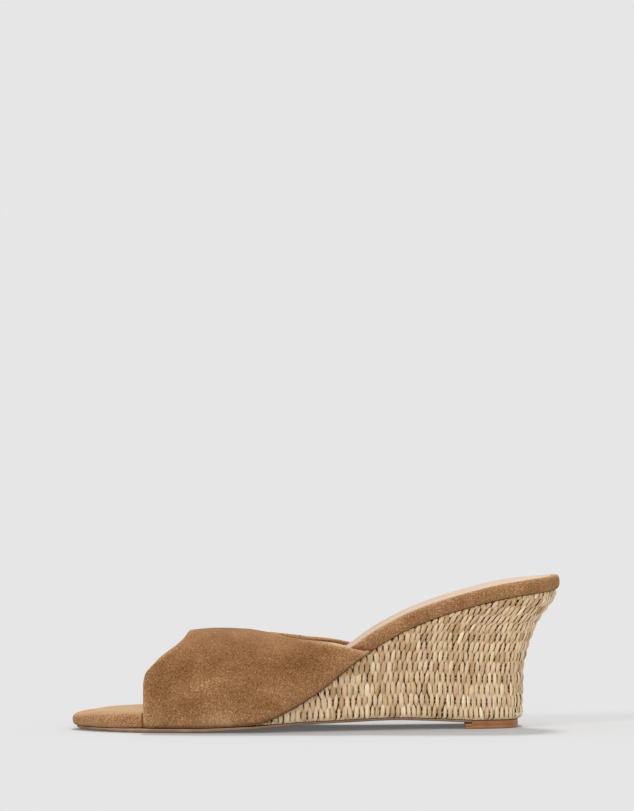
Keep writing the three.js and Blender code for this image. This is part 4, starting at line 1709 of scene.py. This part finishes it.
@dataclass(frozen=True)
class Studio:
    """Pale paper floor and background, soft light and the camera at the photograph's angle."""

    paper: str = "E6E6E6"
    floor_albedo: float = 0.46
    floor_glow: float = 0.12
    floor_reach: float = 120.0
    fibre_scale: float = 900.0
    fibre_bump: float = 0.02
    fibre_depth: float = 0.0001
    distance: float = 2.305
    eye_height: float = 0.1535
    pixels_per_mm: float = 2.0964
    yaw: float = -0.0169
    roll: float = 0.00838
    left_shift_px: float = 3.32
    picture_height_px: float = 811.0
    sensor: float = 36.0
    # Share of the floor's light, azimuth from the camera's side, elevation and soft angle, in degrees
    lamps: tuple[tuple[str, float, float, float, float], ...] = (
        ("key", 0.15, -42.0, 38.0, 18.0), ("fill", 0.08, 10.0, 16.0, 30.0), ("back", 0.77, 176.0, 58.0, 10.0))

    def build(self) -> None:
        """Makes the floor, the light and the camera."""
        self.make_floor()
        self.make_light()
        self.make_camera()

    def make_floor(self) -> None:
        """Lays the floor, so wide that it meets the background at the horizon."""
        material, tree, shader = new_material("studio_paper")
        place = add_node(tree, "ShaderNodeTexCoord").outputs["Object"]
        fibre = add_node(tree, "ShaderNodeTexNoise", {"Scale": self.fibre_scale}, {"Vector": place})
        bump = add_node(tree, "ShaderNodeBump", {"Strength": self.fibre_bump, "Distance": self.fibre_depth},
                        {"Height": fibre.outputs["Fac"]})
        wire(tree, shader, {"Base Color": (self.floor_albedo,) * 3 + (1.0,), "Roughness": 1.0,
                            "Emission Color": linear(self.paper), "Emission Strength": self.floor_glow,
                            "Specular IOR Level": 0.0}, {"Normal": bump.outputs["Normal"]})
        square = [(-1.0, -1.0, 0.0), (1.0, -1.0, 0.0), (1.0, 1.0, 0.0), (-1.0, 1.0, 0.0)]
        corners = self.floor_reach * np.array(square)
        floor = make_piece("floor", corners, np.array([[0, 1, 2, 3]]), material, merge=False)

    def make_light(self) -> None:
        """Lights the shoe: an even dome as bright as the background and soft lamps from above.

        The floor glows a little, so that shadows on it stay soft, and sends back the dome and
        the lamps as its albedo says. The lamps together have just the strength that makes the
        floor as bright as the background.
        """
        world = bpy.data.worlds.new("studio")
        world.use_nodes = True
        wire(world.node_tree, world.node_tree.nodes["Background"],
             {"Color": linear(self.paper), "Strength": 1.0})
        bpy.context.scene.world = world
        need = math.pi * linear(self.paper)[0] * ((1.0 - self.floor_glow) / self.floor_albedo - 1.0)
        for name, part, azimuth, elevation, soft in self.lamps:
            data = bpy.data.lights.new(name, "SUN")
            data.energy = need * part / math.sin(math.radians(elevation))
            data.angle = math.radians(soft)
            lamp = bpy.data.objects.new(name, data)
            lamp.rotation_euler = (math.radians(90.0 - elevation), 0.0, math.radians(azimuth))
            bpy.context.scene.collection.objects.link(lamp)

    def make_camera(self) -> None:
        """Stands the camera where the photograph was taken, level but slightly rolled."""
        ahead = np.array([math.sin(self.yaw), math.cos(self.yaw), 0.0])
        level_right = np.array([math.cos(self.yaw), -math.sin(self.yaw), 0.0])
        up = np.array([0.0, 0.0, 1.0])
        right = level_right * math.cos(self.roll) - up * math.sin(self.roll)
        over = level_right * math.sin(self.roll) + up * math.cos(self.roll)
        side_step = self.left_shift_px / self.pixels_per_mm * MM
        place = -ahead * self.distance + level_right * side_step + up * self.eye_height
        data = bpy.data.cameras.new("camera")
        data.sensor_fit = "AUTO"
        data.sensor_width = self.sensor
        focal_px = self.pixels_per_mm / MM * self.distance
        data.lens = focal_px * self.sensor / self.picture_height_px
        data.clip_start, data.clip_end = 0.1, 500.0
        camera = bpy.data.objects.new("camera", data)
        matrix = Matrix.Identity(4)
        for column, vector in enumerate((right, over, -ahead, place)):
            for k in range(3):
                matrix[k][column] = vector[k]
        camera.matrix_world = matrix
        bpy.context.scene.collection.objects.link(camera)
        bpy.context.scene.camera = camera


def main() -> None:
    """Builds the shoe's pieces around the frame, in order, and the studio."""
    logging.basicConfig(level=logging.INFO, format="%(name)s %(message)s")
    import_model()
    bpy.context.scene.view_settings.view_transform = "Standard"
    plain = Last()
    # The outer edge of the last's footbed is laid on the outer edge of the solid one
    alongs = stations(0.0, plain.length, 400, True, True)
    outermost = float((plain.middle(alongs) - plain.half(alongs)).min())
    last = Last(sideways=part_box("footbed")[0].y / MM - outermost)
    suede, leather, raffia = Suede().build(), LiningLeather().build(), Raffia().build()
    # A lighter copy of the lining leather for the inside of the band: painted light that makes up for the
    # shade inside it
    lightened_band_lining = LiningLeather("lightened_band_lining_leather", dark="DDBF9C", light="E8CDAC").build()
    Studio().build()
    band = Band(last)
    band.build(suede, lightened_band_lining)
    footbed = Footbed(last)
    footbed.build_wrap(suede, band)
    footbed.build_sock(leather)
    wedge = Wedge(last)
    wedge.build_core(GAP_SHADE_BACKING.build())
    wedge.build_cords(raffia)
    wedge.build_cover(raffia)
    wedge.build_frayed_end(raffia)
    sole = SoleUnit(last)
    sole.build_sole(SOLE_SHEET.build(), SOLE_LIP.build(), SOLE_TREAD.build())
    sole.build_tip(TIP_RUBBER.build())
    bpy.context.view_layer.update()


if __name__ == "__main__":
    main()
